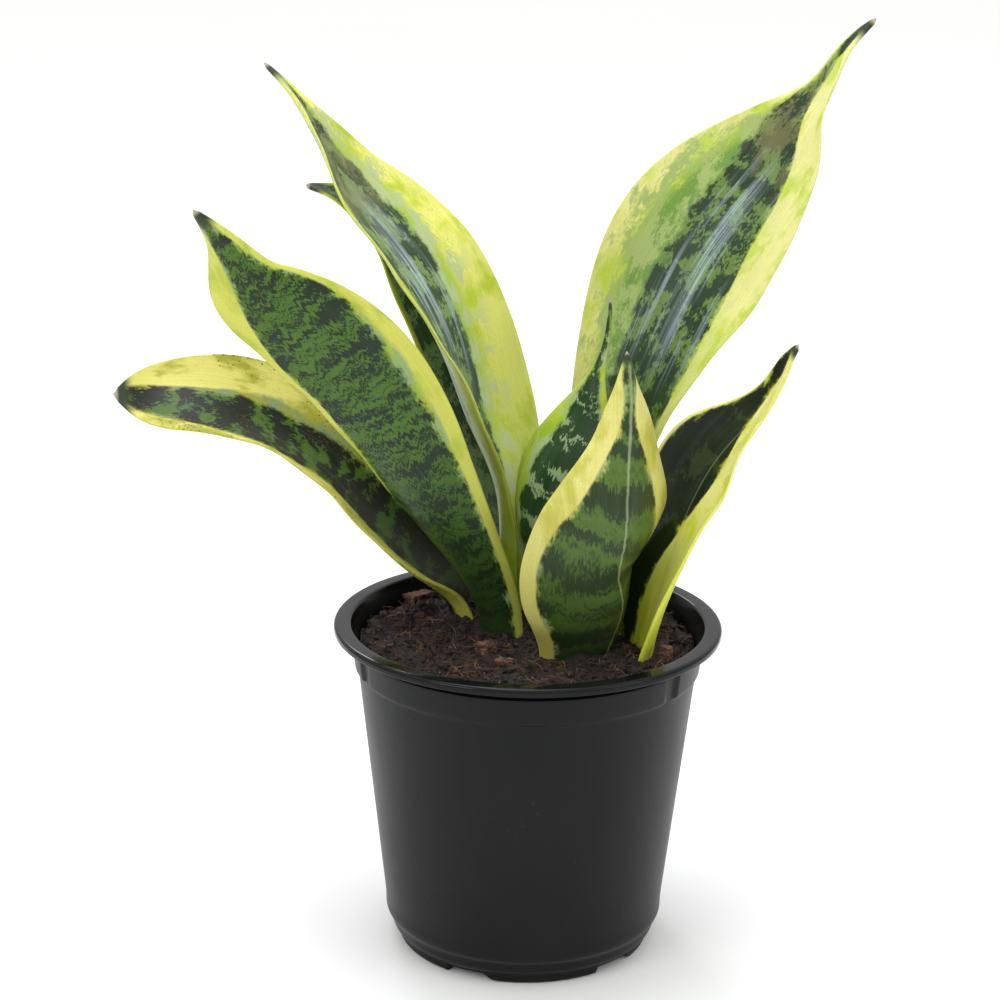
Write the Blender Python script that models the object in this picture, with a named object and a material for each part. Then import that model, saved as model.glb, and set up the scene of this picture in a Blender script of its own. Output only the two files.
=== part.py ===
"""Potted snake plant: a thin black nursery pot, potting soil, a rhizome and eight variegated leaves.

World frame in metres, +Z up. The origin is the middle of the pot's underside, and -Y is the front.
All sizes below are in millimetres and degrees.
"""
import math

import bmesh
import bpy
import numpy as np

MM = 0.001

# ---- driving sizes: pot ------------------------------------------------------------------
POT_HEIGHT = 94.0
RIM_RADIUS = 54.0            # outside of the rolled rim
RIM_WIDTH = 4.4              # flat top of the rim, measured inwards
RIM_LIP = 2.3                # how far the rim turns down
RIM_OVERHANG = 5.6           # rim beyond the wall under it
WALL_TAPER = 8.9             # how much narrower the wall is at the bottom corner
FOOT_STEP = 4.2              # how far the foot stands in from the bottom corner
CORNER_HEIGHT = 14.5         # height of the rounded bottom corner
WALL = 1.0
BAND_HEIGHT = 7.6            # stacking band under the rim
BAND_DROP = 2.6              # from the rim's lower edge down to the band
BAND_PROUD = 0.85
BAND_COUNT = 3
BAND_HALF_ANGLE = 57.0
BAND_CENTRE = -96.5          # direction of the first band, measured from +X
NOTCH_COUNT = 5
NOTCH_HEIGHT = 2.3
NOTCH_HALF_ANGLE = 9.0
NOTCH_RAMP = 5.0             # angle over which one side of each notch slopes
NOTCH_CENTRE = -117.0
NOTCH_INNER_RADIUS = 15.0    # where the drainage channels start
DRAIN_RADIUS = 3.5
DRAIN_RING = 25.0            # the holes' distance from the axis

# ---- driving sizes: soil and plant ----------------------------------------------------------
SOIL_DROP = 4.0              # mean soil level below the top of the rim
SOIL_RELIEF = 0.9            # how far the soil rises and falls about its mean level
CLEARANCE = 0.5              # gap kept between touching pieces
PLANT_HEIGHT = 167.0         # soil level to the tip of the tallest leaf
LEAF_PLAN_RIM = 54.0         # rim radius that the leaves' plan places and widths are given for
LEAF_THICKNESS = 2.8         # at a leaf's thick lower middle
LEAF_TIP_THICKNESS = 1.5
LEAF_EDGE = 0.45             # thickness at the margins, as a share of the thickness at the middle
CROWN_DEPTH = 12.0           # soil level to the flat top of the rhizome
BASE_ABOVE_CROWN = 1.0       # the first station's height above the crown, before its ring is set down on it
RHIZOME_THICKNESS = 13.0
RHIZOME_LENGTH = 66.0
RHIZOME_BREADTH = 38.0
RHIZOME_SIDE = 54.0          # direction from the pot's axis in which it lies off centre
RHIZOME_OFF_CENTRE = 1.12024 # how far off, as a share of the room that half its length leaves
RHIZOME_HEADING = -52.0      # direction in which it creeps
ROOT_COUNT = 5
ROOT_LENGTH = 46.0
ROOT_RADIUS = 2.2
ROOT_START = 8.0             # the roots leave the rhizome this far from its middle
ROOT_REACH = 9.0             # and spread this much further out
ROOT_WANDER = 1.5

# ---- mesh fineness ---------------------------------------------------------------------------
LEAF_RINGS = 22
LEAF_COLUMNS = 7             # points across one face; odd, so that one column is the midrib
POT_STEPS = 60
SOIL_STEPS = 48
DRAIN_STEPS = 16
RHIZOME_STEPS = 24
ROOT_RINGS = 7
ROOT_STEPS = 8

TOP_RADIUS = RIM_RADIUS - RIM_OVERHANG   # outside of the wall just under the rim
LOW_RADIUS = TOP_RADIUS - WALL_TAPER     # outside of the wall above the bottom corner
FOOT_RADIUS = LOW_RADIUS - FOOT_STEP
UNDER_RIM = POT_HEIGHT - RIM_LIP
INNER_SHOULDER = UNDER_RIM - 1.5         # where the inside leaves the rim and starts to taper
SOIL_LEVEL = POT_HEIGHT - SOIL_DROP
PLAN_SCALE = RIM_RADIUS / LEAF_PLAN_RIM  # the plant spreads with its pot

# Each leaf grows from base to tip through its stations: x, y and height above the soil of the middle
# of the blade, half the width from margin to margin, roll about the midrib, and how far each half
# curls up (0 is flat, 90 is a half pipe). The azimuth is the side that the back of the leaf faces,
# and the keel is how sharply the blade is folded along its midrib. The plant's height stretches the
# heights, and the pot's rim the plan and the widths.
LEAVES = {
    "leaf_low_left": (180, 0.0, (
        (-11.5, 22.7, -11, 10, -10, 75), (-16, 24, 8, 13, -14, 64), (-27, 23, 19, 15.5, -22, 52),
        (-39, 21, 32, 16.5, -30, 42), (-50, 18, 46, 16.5, -31, 38), (-64, 14, 57, 17, -27, 34),
        (-77, 11, 63.5, 16.5, -27, 30), (-95, 7, 66, 13.5, -33, 25), (-108, 4, 66, 8, -34, 20),
        (-114, 2, 67, 0.6, -40, 10))),
    "leaf_broad_left": (250, 0.0, (
        (-5, 9, -11, 8, -38, 80), (-7.5, 8, 7, 8.5, -28, 66), (-18, 4, 28, 12.5, -12, 46),
        (-28.5, 0, 47, 14.5, 3, 36), (-38.5, -4, 66, 16, 17, 28), (-50, -8, 81, 16.5, 26, 25),
        (-64.5, -11, 92.5, 15, 26, 25), (-75, -13, 101, 11.5, 15, 30), (-81, -15, 112, 6, 0, 35),
        (-89, -17, 122, 0.6, 0, 30))),
    "leaf_tall_left": (150, 0.0, (
        (0, 15.5, -11, 8.5, 18, 75), (-0.5, 19, 13, 10, 16, 65), (-1.3, 24.3, 37, 13.5, 10, 54),
        (-6, 30, 56, 18.5, 8, 56), (-18, 38, 83, 20.5, 0, 38), (-32, 44, 103, 20, -5, 30),
        (-48, 50, 119, 16, 2, 32), (-56, 54, 128.5, 10.5, 8, 38), (-61, 56, 134, 6.5, 6, 42),
        (-67, 58, 140.5, 3, 5, 45), (-77, 62, 149, 0.6, 0, 30))),
    "leaf_rear_left": (120, 0.0, (
        (-1, 34, -11, 6, 0, 66), (-5.5, 39, 20, 7.5, 0, 50), (-17.5, 46, 58, 10, 0, 40),
        (-32, 51, 90, 10, 0, 35), (-44, 54, 107, 7.5, 0, 35), (-56, 56, 113.5, 4.5, 0, 40),
        (-65, 57, 115, 1.3, 0, 30))),
    "leaf_tall_right": (60, 0.0, (
        (15, 19, -11, 9.5, -30, 70), (18, 19.5, 15, 11, -28, 60), (22, 21, 51, 15.5, -15, 38),
        (32.5, 25.5, 82, 22.5, -3, 28), (41, 28.5, 99, 25, 5, 25), (51, 31, 114, 24, 8, 25),
        (65, 36, 131, 17.5, 0, 28), (72, 39, 140, 11.5, -12, 35), (80, 42, 149, 5.5, -25, 40),
        (85, 44, 157, 3, -25, 40), (94, 45, 166, 0.6, 0, 30))),
    "leaf_young_middle": (180, 0.0, (
        (8.5, 6, -11, 7, 30, 70), (6.8, 8, 15, 10, 35, 56), (5.6, 8, 34, 14, 40, 45),
        (12, 7, 55, 13, 35, 40), (17, 7, 65, 9, 30, 55), (19, 6, 74, 2.5, 20, 85),
        (21, 7, 83, 1.4, 0, 60), (21, 8, 94, 0.5, 0, 20))),
    "leaf_front": (-60, 0.22, (
        (10, -2, -11, 13, 26, 70), (11.5, -4, 2, 14.5, 25, 68), (12, -8, 17, 19, 20, 58),
        (13.5, -12.3, 28, 20.3, 7, 44), (19, -14, 39, 21, 2, 36), (22.5, -15, 48, 17.3, 0, 34),
        (24.5, -14, 59, 10.8, 0, 32), (25, -12, 70, 6, 0, 32), (25, -11, 77, 3, 5, 32),
        (25, -10, 84, 0.5, 5, 20))),
    "leaf_low_right": (-15, 0.12, (
        (26.5, -9, -11, 9.5, 25, 50), (28, -9, 3, 11.5, 30, 42), (32.5, -9, 21, 12.8, 38, 36),
        (39.5, -6, 41, 15.5, 44, 32), (48, -6, 56, 15, 42, 28), (57, -8, 65.5, 8.5, 32, 28),
        (62.5, -11, 73, 5.5, 30, 32), (67, -14, 83, 3, 30, 35), (70, -16, 88, 0.5, 30, 20))),
}
TALLEST = max(stations[-1][2] for _, _, stations in LEAVES.values())

# Bark chips lying in the soil: share of the soil's radius, direction, size and turn. The size goes with
# the plan of the leaves that they lie between.
BARK_CHIPS = {
    "bark_chip_flat": (0.985, 135, (10.0, 5.0, 3.0), 42),
    "bark_chip_pointed": (0.935, -27, (4.6, 3.6, 7.6), 63),
    "bark_chip_square": (0.46, -125, (5.4, 5.0, 5.0), 35),
    "bark_chip_small": (0.60, -103, (5.0, 4.2, 3.6), -15),
}
CHIP_SUNK = 0.4              # share of a chip's height that is below the soil


# ---- small tools -----------------------------------------------------------------------------
def spline(knots, values, at):
    """Natural cubic spline through values at the given knots, read at the places `at`."""
    count = len(knots)
    step = np.diff(knots)
    matrix = np.eye(count)
    right = np.zeros_like(values)
    for i in range(1, count - 1):
        matrix[i, i - 1:i + 2] = step[i - 1], 2 * (step[i - 1] + step[i]), step[i]
        right[i] = 6 * ((values[i + 1] - values[i]) / step[i] - (values[i] - values[i - 1]) / step[i - 1])
    bend = np.linalg.solve(matrix, right)
    k = np.clip(np.searchsorted(knots, at) - 1, 0, count - 2)
    h = step[k][:, None]
    a = (knots[k + 1] - at)[:, None] / h
    b = 1 - a
    curve = ((a ** 3 - a) * bend[k] + (b ** 3 - b) * bend[k + 1]) * h ** 2 / 6
    return a * values[k] + b * values[k + 1] + curve


def material(name, colour, roughness):
    """Plain Principled material for one sub-part."""
    made = bpy.data.materials.new(name)
    made.use_nodes = True
    shader = made.node_tree.nodes["Principled BSDF"]
    shader.inputs["Base Color"].default_value = (*colour, 1.0)
    shader.inputs["Roughness"].default_value = roughness
    made.diffuse_color = (*colour, 1.0)
    return made


def add_object(name, points, faces, finish, smooth_angle=40.0):
    """Mesh object from points in millimetres, facing outwards."""
    mesh = bpy.data.meshes.new(name)
    mesh.from_pydata([tuple(p * MM for p in point) for point in points], [], faces)
    fix = bmesh.new()
    fix.from_mesh(mesh)
    bmesh.ops.triangulate(fix, faces=fix.faces, quad_method="FIXED", ngon_method="BEAUTY")
    bmesh.ops.recalc_face_normals(fix, faces=fix.faces)
    fix.to_mesh(mesh)
    fix.free()
    mesh.shade_smooth()
    mesh.set_sharp_from_angle(angle=math.radians(smooth_angle))
    made = bpy.data.objects.new(name, mesh)
    bpy.context.scene.collection.objects.link(made)
    if finish:
        mesh.materials.append(finish)
    return made


def add_cutter(name, points, faces):
    """Hidden solid that only cuts its neighbours."""
    made = add_object(name, points, faces, None)
    made.hide_render = True
    made.display_type = "WIRE"
    return made


def combine(target, tool, operation):
    """Boolean of a target with a hidden solid."""
    change = target.modifiers.new(tool.name, "BOOLEAN")
    change.object = tool
    change.operation = operation
    change.solver = "EXACT"


def tube_faces(rings, around, closed=True):
    """Faces of a lofted skin of equal rings, with a flat face on each end."""
    faces = []
    for i in range(rings - 1):
        for j in range(around):
            n = (j + 1) % around
            faces.append((i * around + j, i * around + n, (i + 1) * around + n, (i + 1) * around + j))
    if closed:
        faces.append(tuple(range(around))[::-1])
        faces.append(tuple((rings - 1) * around + j for j in range(around)))
    return faces


def turned_faces(rings, around):
    """Faces of a turned skin whose first and last points are single poles."""
    first, last = 0, 1 + (rings * around)
    faces = [(first, 1 + (j + 1) % around, 1 + j) for j in range(around)]
    for i in range(rings - 1):
        row, above = 1 + i * around, 1 + (i + 1) * around
        faces += [(row + j, row + (j + 1) % around, above + (j + 1) % around, above + j)
                  for j in range(around)]
    row = 1 + (rings - 1) * around
    faces += [(row + j, row + (j + 1) % around, last) for j in range(around)]
    return faces


# ---- pot --------------------------------------------------------------------------------------
def wall_radius(height):
    """Outside radius of the straight tapered wall at a height."""
    return LOW_RADIUS + WALL_TAPER * (height - CORNER_HEIGHT) / (UNDER_RIM - CORNER_HEIGHT)


def inner_radius(height):
    """Inside radius of the pot at a height above its corner."""
    return LOW_RADIUS - WALL + WALL_TAPER * (height - CORNER_HEIGHT) / (INNER_SHOULDER - CORNER_HEIGHT)


def pot_profile():
    """Closed section of the pot as (radius, height, on the band), from underside to inner floor."""
    band_top = UNDER_RIM - BAND_DROP
    band_low = band_top - BAND_HEIGHT
    outside = [
        (NOTCH_INNER_RADIUS - 1.0, 0, 0), (NOTCH_INNER_RADIUS, 0, 0),
        (FOOT_RADIUS - 4.0, 0, 0), (FOOT_RADIUS, 0, 0),
        (FOOT_RADIUS + 0.10 * FOOT_STEP, 0.20 * CORNER_HEIGHT, 0),
        (FOOT_RADIUS + 0.36 * FOOT_STEP, 0.26 * CORNER_HEIGHT, 0),
        (FOOT_RADIUS + 0.66 * FOOT_STEP, 0.50 * CORNER_HEIGHT, 0),
        (FOOT_RADIUS + 0.80 * FOOT_STEP, 0.55 * CORNER_HEIGHT, 0),
        (FOOT_RADIUS + 0.95 * FOOT_STEP, 0.80 * CORNER_HEIGHT, 0),
        (LOW_RADIUS, CORNER_HEIGHT, 0),
        (wall_radius(band_low - 0.4), band_low - 0.4, 0),
        (wall_radius(band_low), band_low, 1),
        (wall_radius(band_top), band_top, 1),
        (wall_radius(band_top + 0.4), band_top + 0.4, 0),
        (TOP_RADIUS, UNDER_RIM + 0.2, 0),
        (TOP_RADIUS + 0.8, POT_HEIGHT - WALL, 0),
        (RIM_RADIUS - WALL, POT_HEIGHT - WALL, 0),
        (RIM_RADIUS - WALL, UNDER_RIM, 0), (RIM_RADIUS, UNDER_RIM, 0),
        (RIM_RADIUS, POT_HEIGHT - 0.7, 0), (RIM_RADIUS - 0.7, POT_HEIGHT, 0),
    ]
    inner_edge = RIM_RADIUS - RIM_WIDTH
    inside = [
        (inner_edge, POT_HEIGHT, 0), (inner_edge - 0.9, POT_HEIGHT - 0.9, 0),
        (TOP_RADIUS - WALL, INNER_SHOULDER, 0),
        (LOW_RADIUS - WALL, CORNER_HEIGHT, 0),
        (LOW_RADIUS - WALL - 0.5 * FOOT_STEP, 0.40 * CORNER_HEIGHT, 0),
        (FOOT_RADIUS - WALL, WALL, 0),
        (NOTCH_INNER_RADIUS, WALL, 0), (NOTCH_INNER_RADIUS - 1.0, WALL, 0),
    ]
    return outside, inside


def angle_off(angle, centre, count):
    """Signed angle from the nearest of `count` equally spaced directions."""
    pitch = 360.0 / count
    return (angle - centre + pitch / 2) % pitch - pitch / 2


def notch_lift(angle):
    """How far the underside is raised at an angle: flat channels, steep on one side, ramped on the other."""
    off = angle_off(angle, NOTCH_CENTRE, NOTCH_COUNT)
    steep = (off + NOTCH_HALF_ANGLE) / 0.5 + 1.0
    ramp = (NOTCH_HALF_ANGLE + NOTCH_RAMP - off) / NOTCH_RAMP
    return NOTCH_HEIGHT * min(1.0, max(0.0, min(steep, ramp)))


def pot_angles():
    """Directions of the pot's vertical edges, with extra ones where notches and bands begin and end."""
    angles = {round(i * 360.0 / POT_STEPS, 3) for i in range(POT_STEPS)}
    for i in range(NOTCH_COUNT):
        centre = NOTCH_CENTRE + i * 360.0 / NOTCH_COUNT
        for off in (-NOTCH_HALF_ANGLE - 0.5, -NOTCH_HALF_ANGLE, NOTCH_HALF_ANGLE, NOTCH_HALF_ANGLE + NOTCH_RAMP):
            angles.add(round((centre + off) % 360.0, 3))
    for i in range(BAND_COUNT):
        centre = BAND_CENTRE + i * 360.0 / BAND_COUNT
        for off in (-BAND_HALF_ANGLE - 0.5, -BAND_HALF_ANGLE, BAND_HALF_ANGLE, BAND_HALF_ANGLE + 0.5):
            angles.add(round((centre + off) % 360.0, 3))
    return sorted(angles)


def build_pot():
    """Thin moulded pot: tapered wall, rolled rim, stacking bands, notched foot and drainage holes."""
    outside, inside = pot_profile()
    angles = pot_angles()
    points = [(0, 0, 0)]
    for row, (radius, height, on_band) in enumerate(outside + inside):
        is_inside = row >= len(outside)
        is_floor = radius >= NOTCH_INNER_RADIUS and height < 0.5 * CORNER_HEIGHT
        for angle in angles:
            off = angle_off(angle, BAND_CENTRE, BAND_COUNT)
            proud = BAND_PROUD if on_band and abs(off) <= BAND_HALF_ANGLE + 0.01 else 0.0
            lift = notch_lift(angle) + (WALL if is_inside else 0.0)
            z = max(height, lift) if is_floor else height
            turn = math.radians(angle)
            points.append(((radius + proud) * math.cos(turn), (radius + proud) * math.sin(turn), z))
    points.append((0, 0, WALL))
    faces = turned_faces(len(outside) + len(inside), len(angles))
    pot = add_object("nursery_pot", points, faces, material("black_plastic", (0.028, 0.029, 0.031), 0.38), 30)
    for i in range(NOTCH_COUNT):
        turn = math.radians(NOTCH_CENTRE + i * 360.0 / NOTCH_COUNT)
        x, y = DRAIN_RING * math.cos(turn), DRAIN_RING * math.sin(turn)
        ring = [(x + DRAIN_RADIUS * math.cos(a), y + DRAIN_RADIUS * math.sin(a))
                for a in (math.tau * k / DRAIN_STEPS for k in range(DRAIN_STEPS))]
        bore = [(px, py, z) for z in (-1.0, NOTCH_HEIGHT + WALL + 2.0) for px, py in ring]
        combine(pot, add_cutter("drain_cutter_%d" % (i + 1), bore, tube_faces(2, DRAIN_STEPS)), "DIFFERENCE")
    return pot


# ---- leaves -----------------------------------------------------------------------------------
def leaf_rings(azimuth, keel, stations, grow=0.0, top=None):
    """Rings of points round the blade, from the flat base to the tip, grown by a clearance."""
    table = np.array(stations, float)
    table[:, (0, 1, 3)] *= PLAN_SCALE
    table[:, 2] *= PLANT_HEIGHT / TALLEST
    table[0, 2] = BASE_ABOVE_CROWN - CROWN_DEPTH
    table[:, 2] += SOIL_LEVEL
    knots = np.concatenate(([0.0], np.cumsum(np.linalg.norm(np.diff(table[:, :3], axis=0), axis=1))))
    along = knots[-1] * (1 - (1 - np.linspace(0, 1, LEAF_RINGS)) ** 1.2)
    middle = spline(knots, table[:, :3], along)
    half, roll, cup = spline(knots, table[:, 3:], along).T[:, :, None]
    half = np.maximum(half, 0.4)
    roll, cup = np.radians(roll), np.radians(np.maximum(cup, 4.0))
    ahead = spline(knots, table[:, :3], np.minimum(along + 0.5, knots[-1]))
    behind = spline(knots, table[:, :3], np.maximum(along - 0.5, 0.0))
    rise = (ahead - behind) / np.linalg.norm(ahead - behind, axis=1)[:, None]
    facing = math.radians(azimuth)
    level = np.array([-math.sin(facing), math.cos(facing), 0.0])
    side = level - (rise @ level)[:, None] * rise
    side /= np.linalg.norm(side, axis=1)[:, None]
    side = np.cos(roll) * side + np.sin(roll) * np.cross(rise, side)
    inner = np.cross(rise, side)
    across = np.linspace(-1, 1, LEAF_COLUMNS)
    sine = np.sin(cup)
    out = np.sin(across * cup) / sine * half
    sag = (np.cos(across * cup) - np.cos(cup)) / sine * half + keel * half * (1 - np.abs(across))
    blade = middle[:, None] + out[..., None] * side[:, None] - sag[..., None] * inner[:, None]
    run = np.cos(across * cup) / sine * cup * half
    dip = -np.sin(across * cup) / sine * cup * half - keel * half * np.sign(across)
    normal = run[..., None] * inner[:, None] + dip[..., None] * side[:, None]
    length = np.linalg.norm(normal, axis=2)[..., None]
    normal /= length
    edge_way = (run[..., None] * side[:, None] - dip[..., None] * inner[:, None]) / length
    share = np.clip(1.6 * along / knots[-1], 0, 1)[:, None]
    thick = LEAF_THICKNESS + (LEAF_TIP_THICKNESS - LEAF_THICKNESS) * share
    thick = thick * (LEAF_EDGE + (1 - LEAF_EDGE) * (1 - np.abs(across) ** 2.2))
    thick = np.minimum(thick, 1.2 * half) / 2 + grow
    edge = np.where(np.abs(across) == 1, np.sign(across), 0.0) * grow
    front = blade + normal * thick[..., None] + edge_way * edge[:, None]
    back = blade - normal * thick[..., None] + edge_way * edge[:, None]
    rings = np.concatenate((front, back[:, ::-1]), axis=1)
    rings[0, :, 2] = SOIL_LEVEL - CROWN_DEPTH - grow
    if top is not None:
        keep = int(np.argmax(middle[:, 2] > top)) + 1
        rings = rings[:keep]
    return rings


def leaf_faces(rings):
    """Faces of a leaf: its skin, and a strip of quads that closes the base and the tip."""
    faces = tube_faces(rings, 2 * LEAF_COLUMNS, closed=False)
    last = 2 * LEAF_COLUMNS - 1
    for start in (0, (rings - 1) * 2 * LEAF_COLUMNS):
        strip = [(start + j, start + j + 1, start + last - j - 1, start + last - j)
                 for j in range(LEAF_COLUMNS - 1)]
        faces += strip if start else [face[::-1] for face in strip]
    return faces


def build_leaves():
    """All leaves, and for each a slightly fatter copy of its foot that hollows the soil."""
    green = material("leaf_green", (0.10, 0.19, 0.05), 0.42)
    cutters = []
    for name, (azimuth, keel, stations) in LEAVES.items():
        rings = leaf_rings(azimuth, keel, stations)
        add_object(name, rings.reshape(-1, 3), leaf_faces(len(rings)), green, 60)
        foot = leaf_rings(azimuth, keel, stations, CLEARANCE, SOIL_LEVEL + 8.0)
        cutters.append(add_cutter(name + "_cutter", foot.reshape(-1, 3), leaf_faces(len(foot))))
    return cutters


# ---- rhizome ------------------------------------------------------------------------------------
def rhizome_centre():
    """Plan place of the rhizome's middle: off the pot's axis by a share of the room beside its ends."""
    middle = SOIL_LEVEL - CROWN_DEPTH - CLEARANCE - RHIZOME_THICKNESS / 2
    reach = RHIZOME_OFF_CENTRE * (inner_radius(middle) - RHIZOME_LENGTH / 2)
    turn = math.radians(RHIZOME_SIDE)
    return np.array((reach * math.cos(turn), reach * math.sin(turn)))


def rhizome_points(grow):
    """Knobbly creeping stem with a flat top that all the leaves stand on."""
    top = SOIL_LEVEL - CROWN_DEPTH - CLEARANCE + grow
    profile = ((0.55, 0.0), (0.86, 0.0), (0.98, 0.18), (1.0, 0.5), (0.9, 0.8), (0.5, 1.0))
    depth = RHIZOME_THICKNESS + 2 * grow
    lean = math.radians(RHIZOME_HEADING)
    centre = rhizome_centre()
    points = [(*centre, top)]
    for share, down in profile:
        for k in range(RHIZOME_STEPS):
            turn = math.tau * k / RHIZOME_STEPS
            knob = share * (1 + 0.06 * math.sin(3 * turn + 0.5) + 0.05 * math.sin(5 * turn))
            a = (RHIZOME_LENGTH / 2 * knob + grow) * math.cos(turn)
            b = (RHIZOME_BREADTH / 2 * knob + grow) * math.sin(turn)
            points.append((centre[0] + a * math.cos(lean) - b * math.sin(lean),
                           centre[1] + a * math.sin(lean) + b * math.cos(lean), top - down * depth))
    points.append((*centre, top - depth))
    return points, turned_faces(len(profile), RHIZOME_STEPS)


def root_points(number, grow):
    """One tapering root that leaves the rhizome's underside and wanders down and outwards."""
    turn = math.radians(RHIZOME_HEADING + number * 360.0 / ROOT_COUNT)
    outwards = np.array((math.cos(turn), math.sin(turn)))
    sideways = np.array((-outwards[1], outwards[0]))
    top = SOIL_LEVEL - CROWN_DEPTH - 0.6 * RHIZOME_THICKNESS
    points = []
    for i in range(ROOT_RINGS):
        share = i / (ROOT_RINGS - 1)
        wander = ROOT_WANDER * math.sin(4 * share + number)
        middle = rhizome_centre() + outwards * (ROOT_START + ROOT_REACH * share) + sideways * wander
        radius = ROOT_RADIUS * (1 - 0.6 * share) + grow
        z = top - ROOT_LENGTH * share - (grow if share == 1.0 else 0.0)
        for k in range(ROOT_STEPS):
            a = math.tau * k / ROOT_STEPS
            points.append((middle[0] + radius * math.cos(a), middle[1] + radius * math.sin(a), z))
    return points, tube_faces(ROOT_RINGS, ROOT_STEPS)


def build_rhizome():
    """Rhizome with five thick roots, and the fatter copies that hollow the soil."""
    points, faces = rhizome_points(0.0)
    rhizome = add_object("rhizome_and_roots", points, faces, material("rhizome", (0.55, 0.36, 0.16), 0.6))
    points, faces = rhizome_points(CLEARANCE)
    cutters = [add_cutter("rhizome_cutter", points, faces)]
    for number in range(ROOT_COUNT):
        points, faces = root_points(number, 0.0)
        combine(rhizome, add_cutter("root_%d" % (number + 1), points, faces), "UNION")
        points, faces = root_points(number, CLEARANCE)
        cutters.append(add_cutter("root_cutter_%d" % (number + 1), points, faces))
    return cutters


# ---- soil and chips -------------------------------------------------------------------------------
def soil_height(x, y):
    """Soil surface: a little higher at the front and the left, low at the back."""
    rise = -0.022 * y - 0.010 * x
    lumps = math.sin(0.21 * x + 0.4) * math.cos(0.17 * y) + 0.6 * math.sin(0.37 * x - 0.29 * y)
    return SOIL_LEVEL + SOIL_RELIEF * (rise + 0.45 * lumps)


def build_soil(cutters):
    """Potting soil that fills the pot, hollowed for everything that grows or lies in it."""
    top_radius = inner_radius(SOIL_LEVEL - 2.0) - CLEARANCE
    floor = NOTCH_HEIGHT + WALL + CLEARANCE
    corner = 0.40 * CORNER_HEIGHT
    corner_radius = LOW_RADIUS - WALL - 0.5 * FOOT_STEP
    points = [(0, 0, floor)]
    lower = ((0.5 * FOOT_RADIUS, floor), (FOOT_RADIUS - WALL - CLEARANCE - 0.6, floor),
             (corner_radius - CLEARANCE, corner + 0.5), (LOW_RADIUS - WALL - CLEARANCE - 0.1, CORNER_HEIGHT),
             (top_radius - 0.4, SOIL_LEVEL - 6.0))
    upper = (1.0, 0.9, 0.75, 0.6, 0.45, 0.3, 0.15)
    turns = [math.tau * k / SOIL_STEPS for k in range(SOIL_STEPS)]
    for radius, z in lower:
        points += [(radius * math.cos(a), radius * math.sin(a), z) for a in turns]
    for share in upper:
        for a in turns:
            x, y = share * top_radius * math.cos(a), share * top_radius * math.sin(a)
            points.append((x, y, soil_height(x, y) - (1.2 if share == 1.0 else 0.0)))
    points.append((0, 0, soil_height(0, 0)))
    faces = turned_faces(len(lower) + len(upper), SOIL_STEPS)
    soil = add_object("potting_soil", points, faces, material("peat", (0.045, 0.028, 0.018), 0.95))
    for cutter in cutters:
        combine(soil, cutter, "DIFFERENCE")
    return soil


def chip_points(size, seed, grow):
    """Corners of a broken piece of bark: a box whose corners are knocked about."""
    random = np.random.default_rng(seed)
    corners = []
    for sx in (-1, 1):
        for sy in (-1, 1):
            for sz in (-1, 1):
                wear = random.uniform(0.72, 1.0, 3)
                corners.append([s * (w * length / 2 + grow) for s, w, length in zip((sx, sy, sz), wear, size)])
    return corners


def build_chips():
    """Bark chips half sunk in the soil, each with a fatter copy that dents the soil."""
    bark = material("bark", (0.16, 0.075, 0.035), 0.85)
    sides = ((0, 1, 3, 2), (4, 6, 7, 5), (0, 4, 5, 1), (2, 3, 7, 6), (0, 2, 6, 4), (1, 5, 7, 3))
    faces = [half for a, b, c, d in sides for half in ((a, b, c), (a, c, d))]
    room = inner_radius(SOIL_LEVEL) - CLEARANCE
    cutters = []
    for seed, (name, (share, direction, chip, turn)) in enumerate(BARK_CHIPS.items(), 5):
        size = [length * PLAN_SCALE for length in chip]
        reach = share * (room - size[1] / 2)
        a, b = math.radians(direction), math.radians(turn)
        x, y = reach * math.cos(a), reach * math.sin(a)
        z = soil_height(x, y) + (0.5 - CHIP_SUNK) * size[2]
        for label, grow in (("", 0.0), ("_cutter", CLEARANCE)):
            points = [(x + p * math.cos(b) - q * math.sin(b), y + p * math.sin(b) + q * math.cos(b), z + r)
                      for p, q, r in chip_points(size, seed, grow)]
            if label:
                cutters.append(add_cutter(name + label, points, faces))
            else:
                add_object(name, points, faces, bark, 20)
    return cutters


def main():
    """Clear the scene and build every sub-part in place."""
    for old in list(bpy.data.objects):
        bpy.data.objects.remove(old, do_unlink=True)
    build_pot()
    cutters = build_rhizome() + build_leaves() + build_chips()
    build_soil(cutters)


main()
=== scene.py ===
"""Looks of a potted snake plant: eight variegated leaves, potting soil and a thin black nursery pot.

The frame is in metres with +Z up, and -Y is the front. Sizes below are in millimetres and degrees
unless named otherwise.
"""
import functools
import math

import bmesh
import bpy
import numpy as np
from mathutils import Matrix, Vector, kdtree, noise


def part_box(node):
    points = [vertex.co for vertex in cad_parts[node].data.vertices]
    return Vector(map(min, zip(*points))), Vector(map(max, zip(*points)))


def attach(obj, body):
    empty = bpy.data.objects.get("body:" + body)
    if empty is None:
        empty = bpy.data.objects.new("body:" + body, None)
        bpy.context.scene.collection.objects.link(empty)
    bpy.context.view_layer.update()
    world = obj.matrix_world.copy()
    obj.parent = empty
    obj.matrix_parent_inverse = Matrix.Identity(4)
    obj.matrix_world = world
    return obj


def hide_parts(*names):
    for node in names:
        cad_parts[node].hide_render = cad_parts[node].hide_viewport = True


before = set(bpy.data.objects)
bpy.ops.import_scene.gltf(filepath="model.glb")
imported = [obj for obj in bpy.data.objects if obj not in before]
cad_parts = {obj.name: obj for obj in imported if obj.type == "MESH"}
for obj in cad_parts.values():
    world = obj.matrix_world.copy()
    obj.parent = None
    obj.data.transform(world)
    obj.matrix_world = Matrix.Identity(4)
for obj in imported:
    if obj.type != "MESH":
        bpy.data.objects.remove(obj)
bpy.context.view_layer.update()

MM = 0.001

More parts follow.
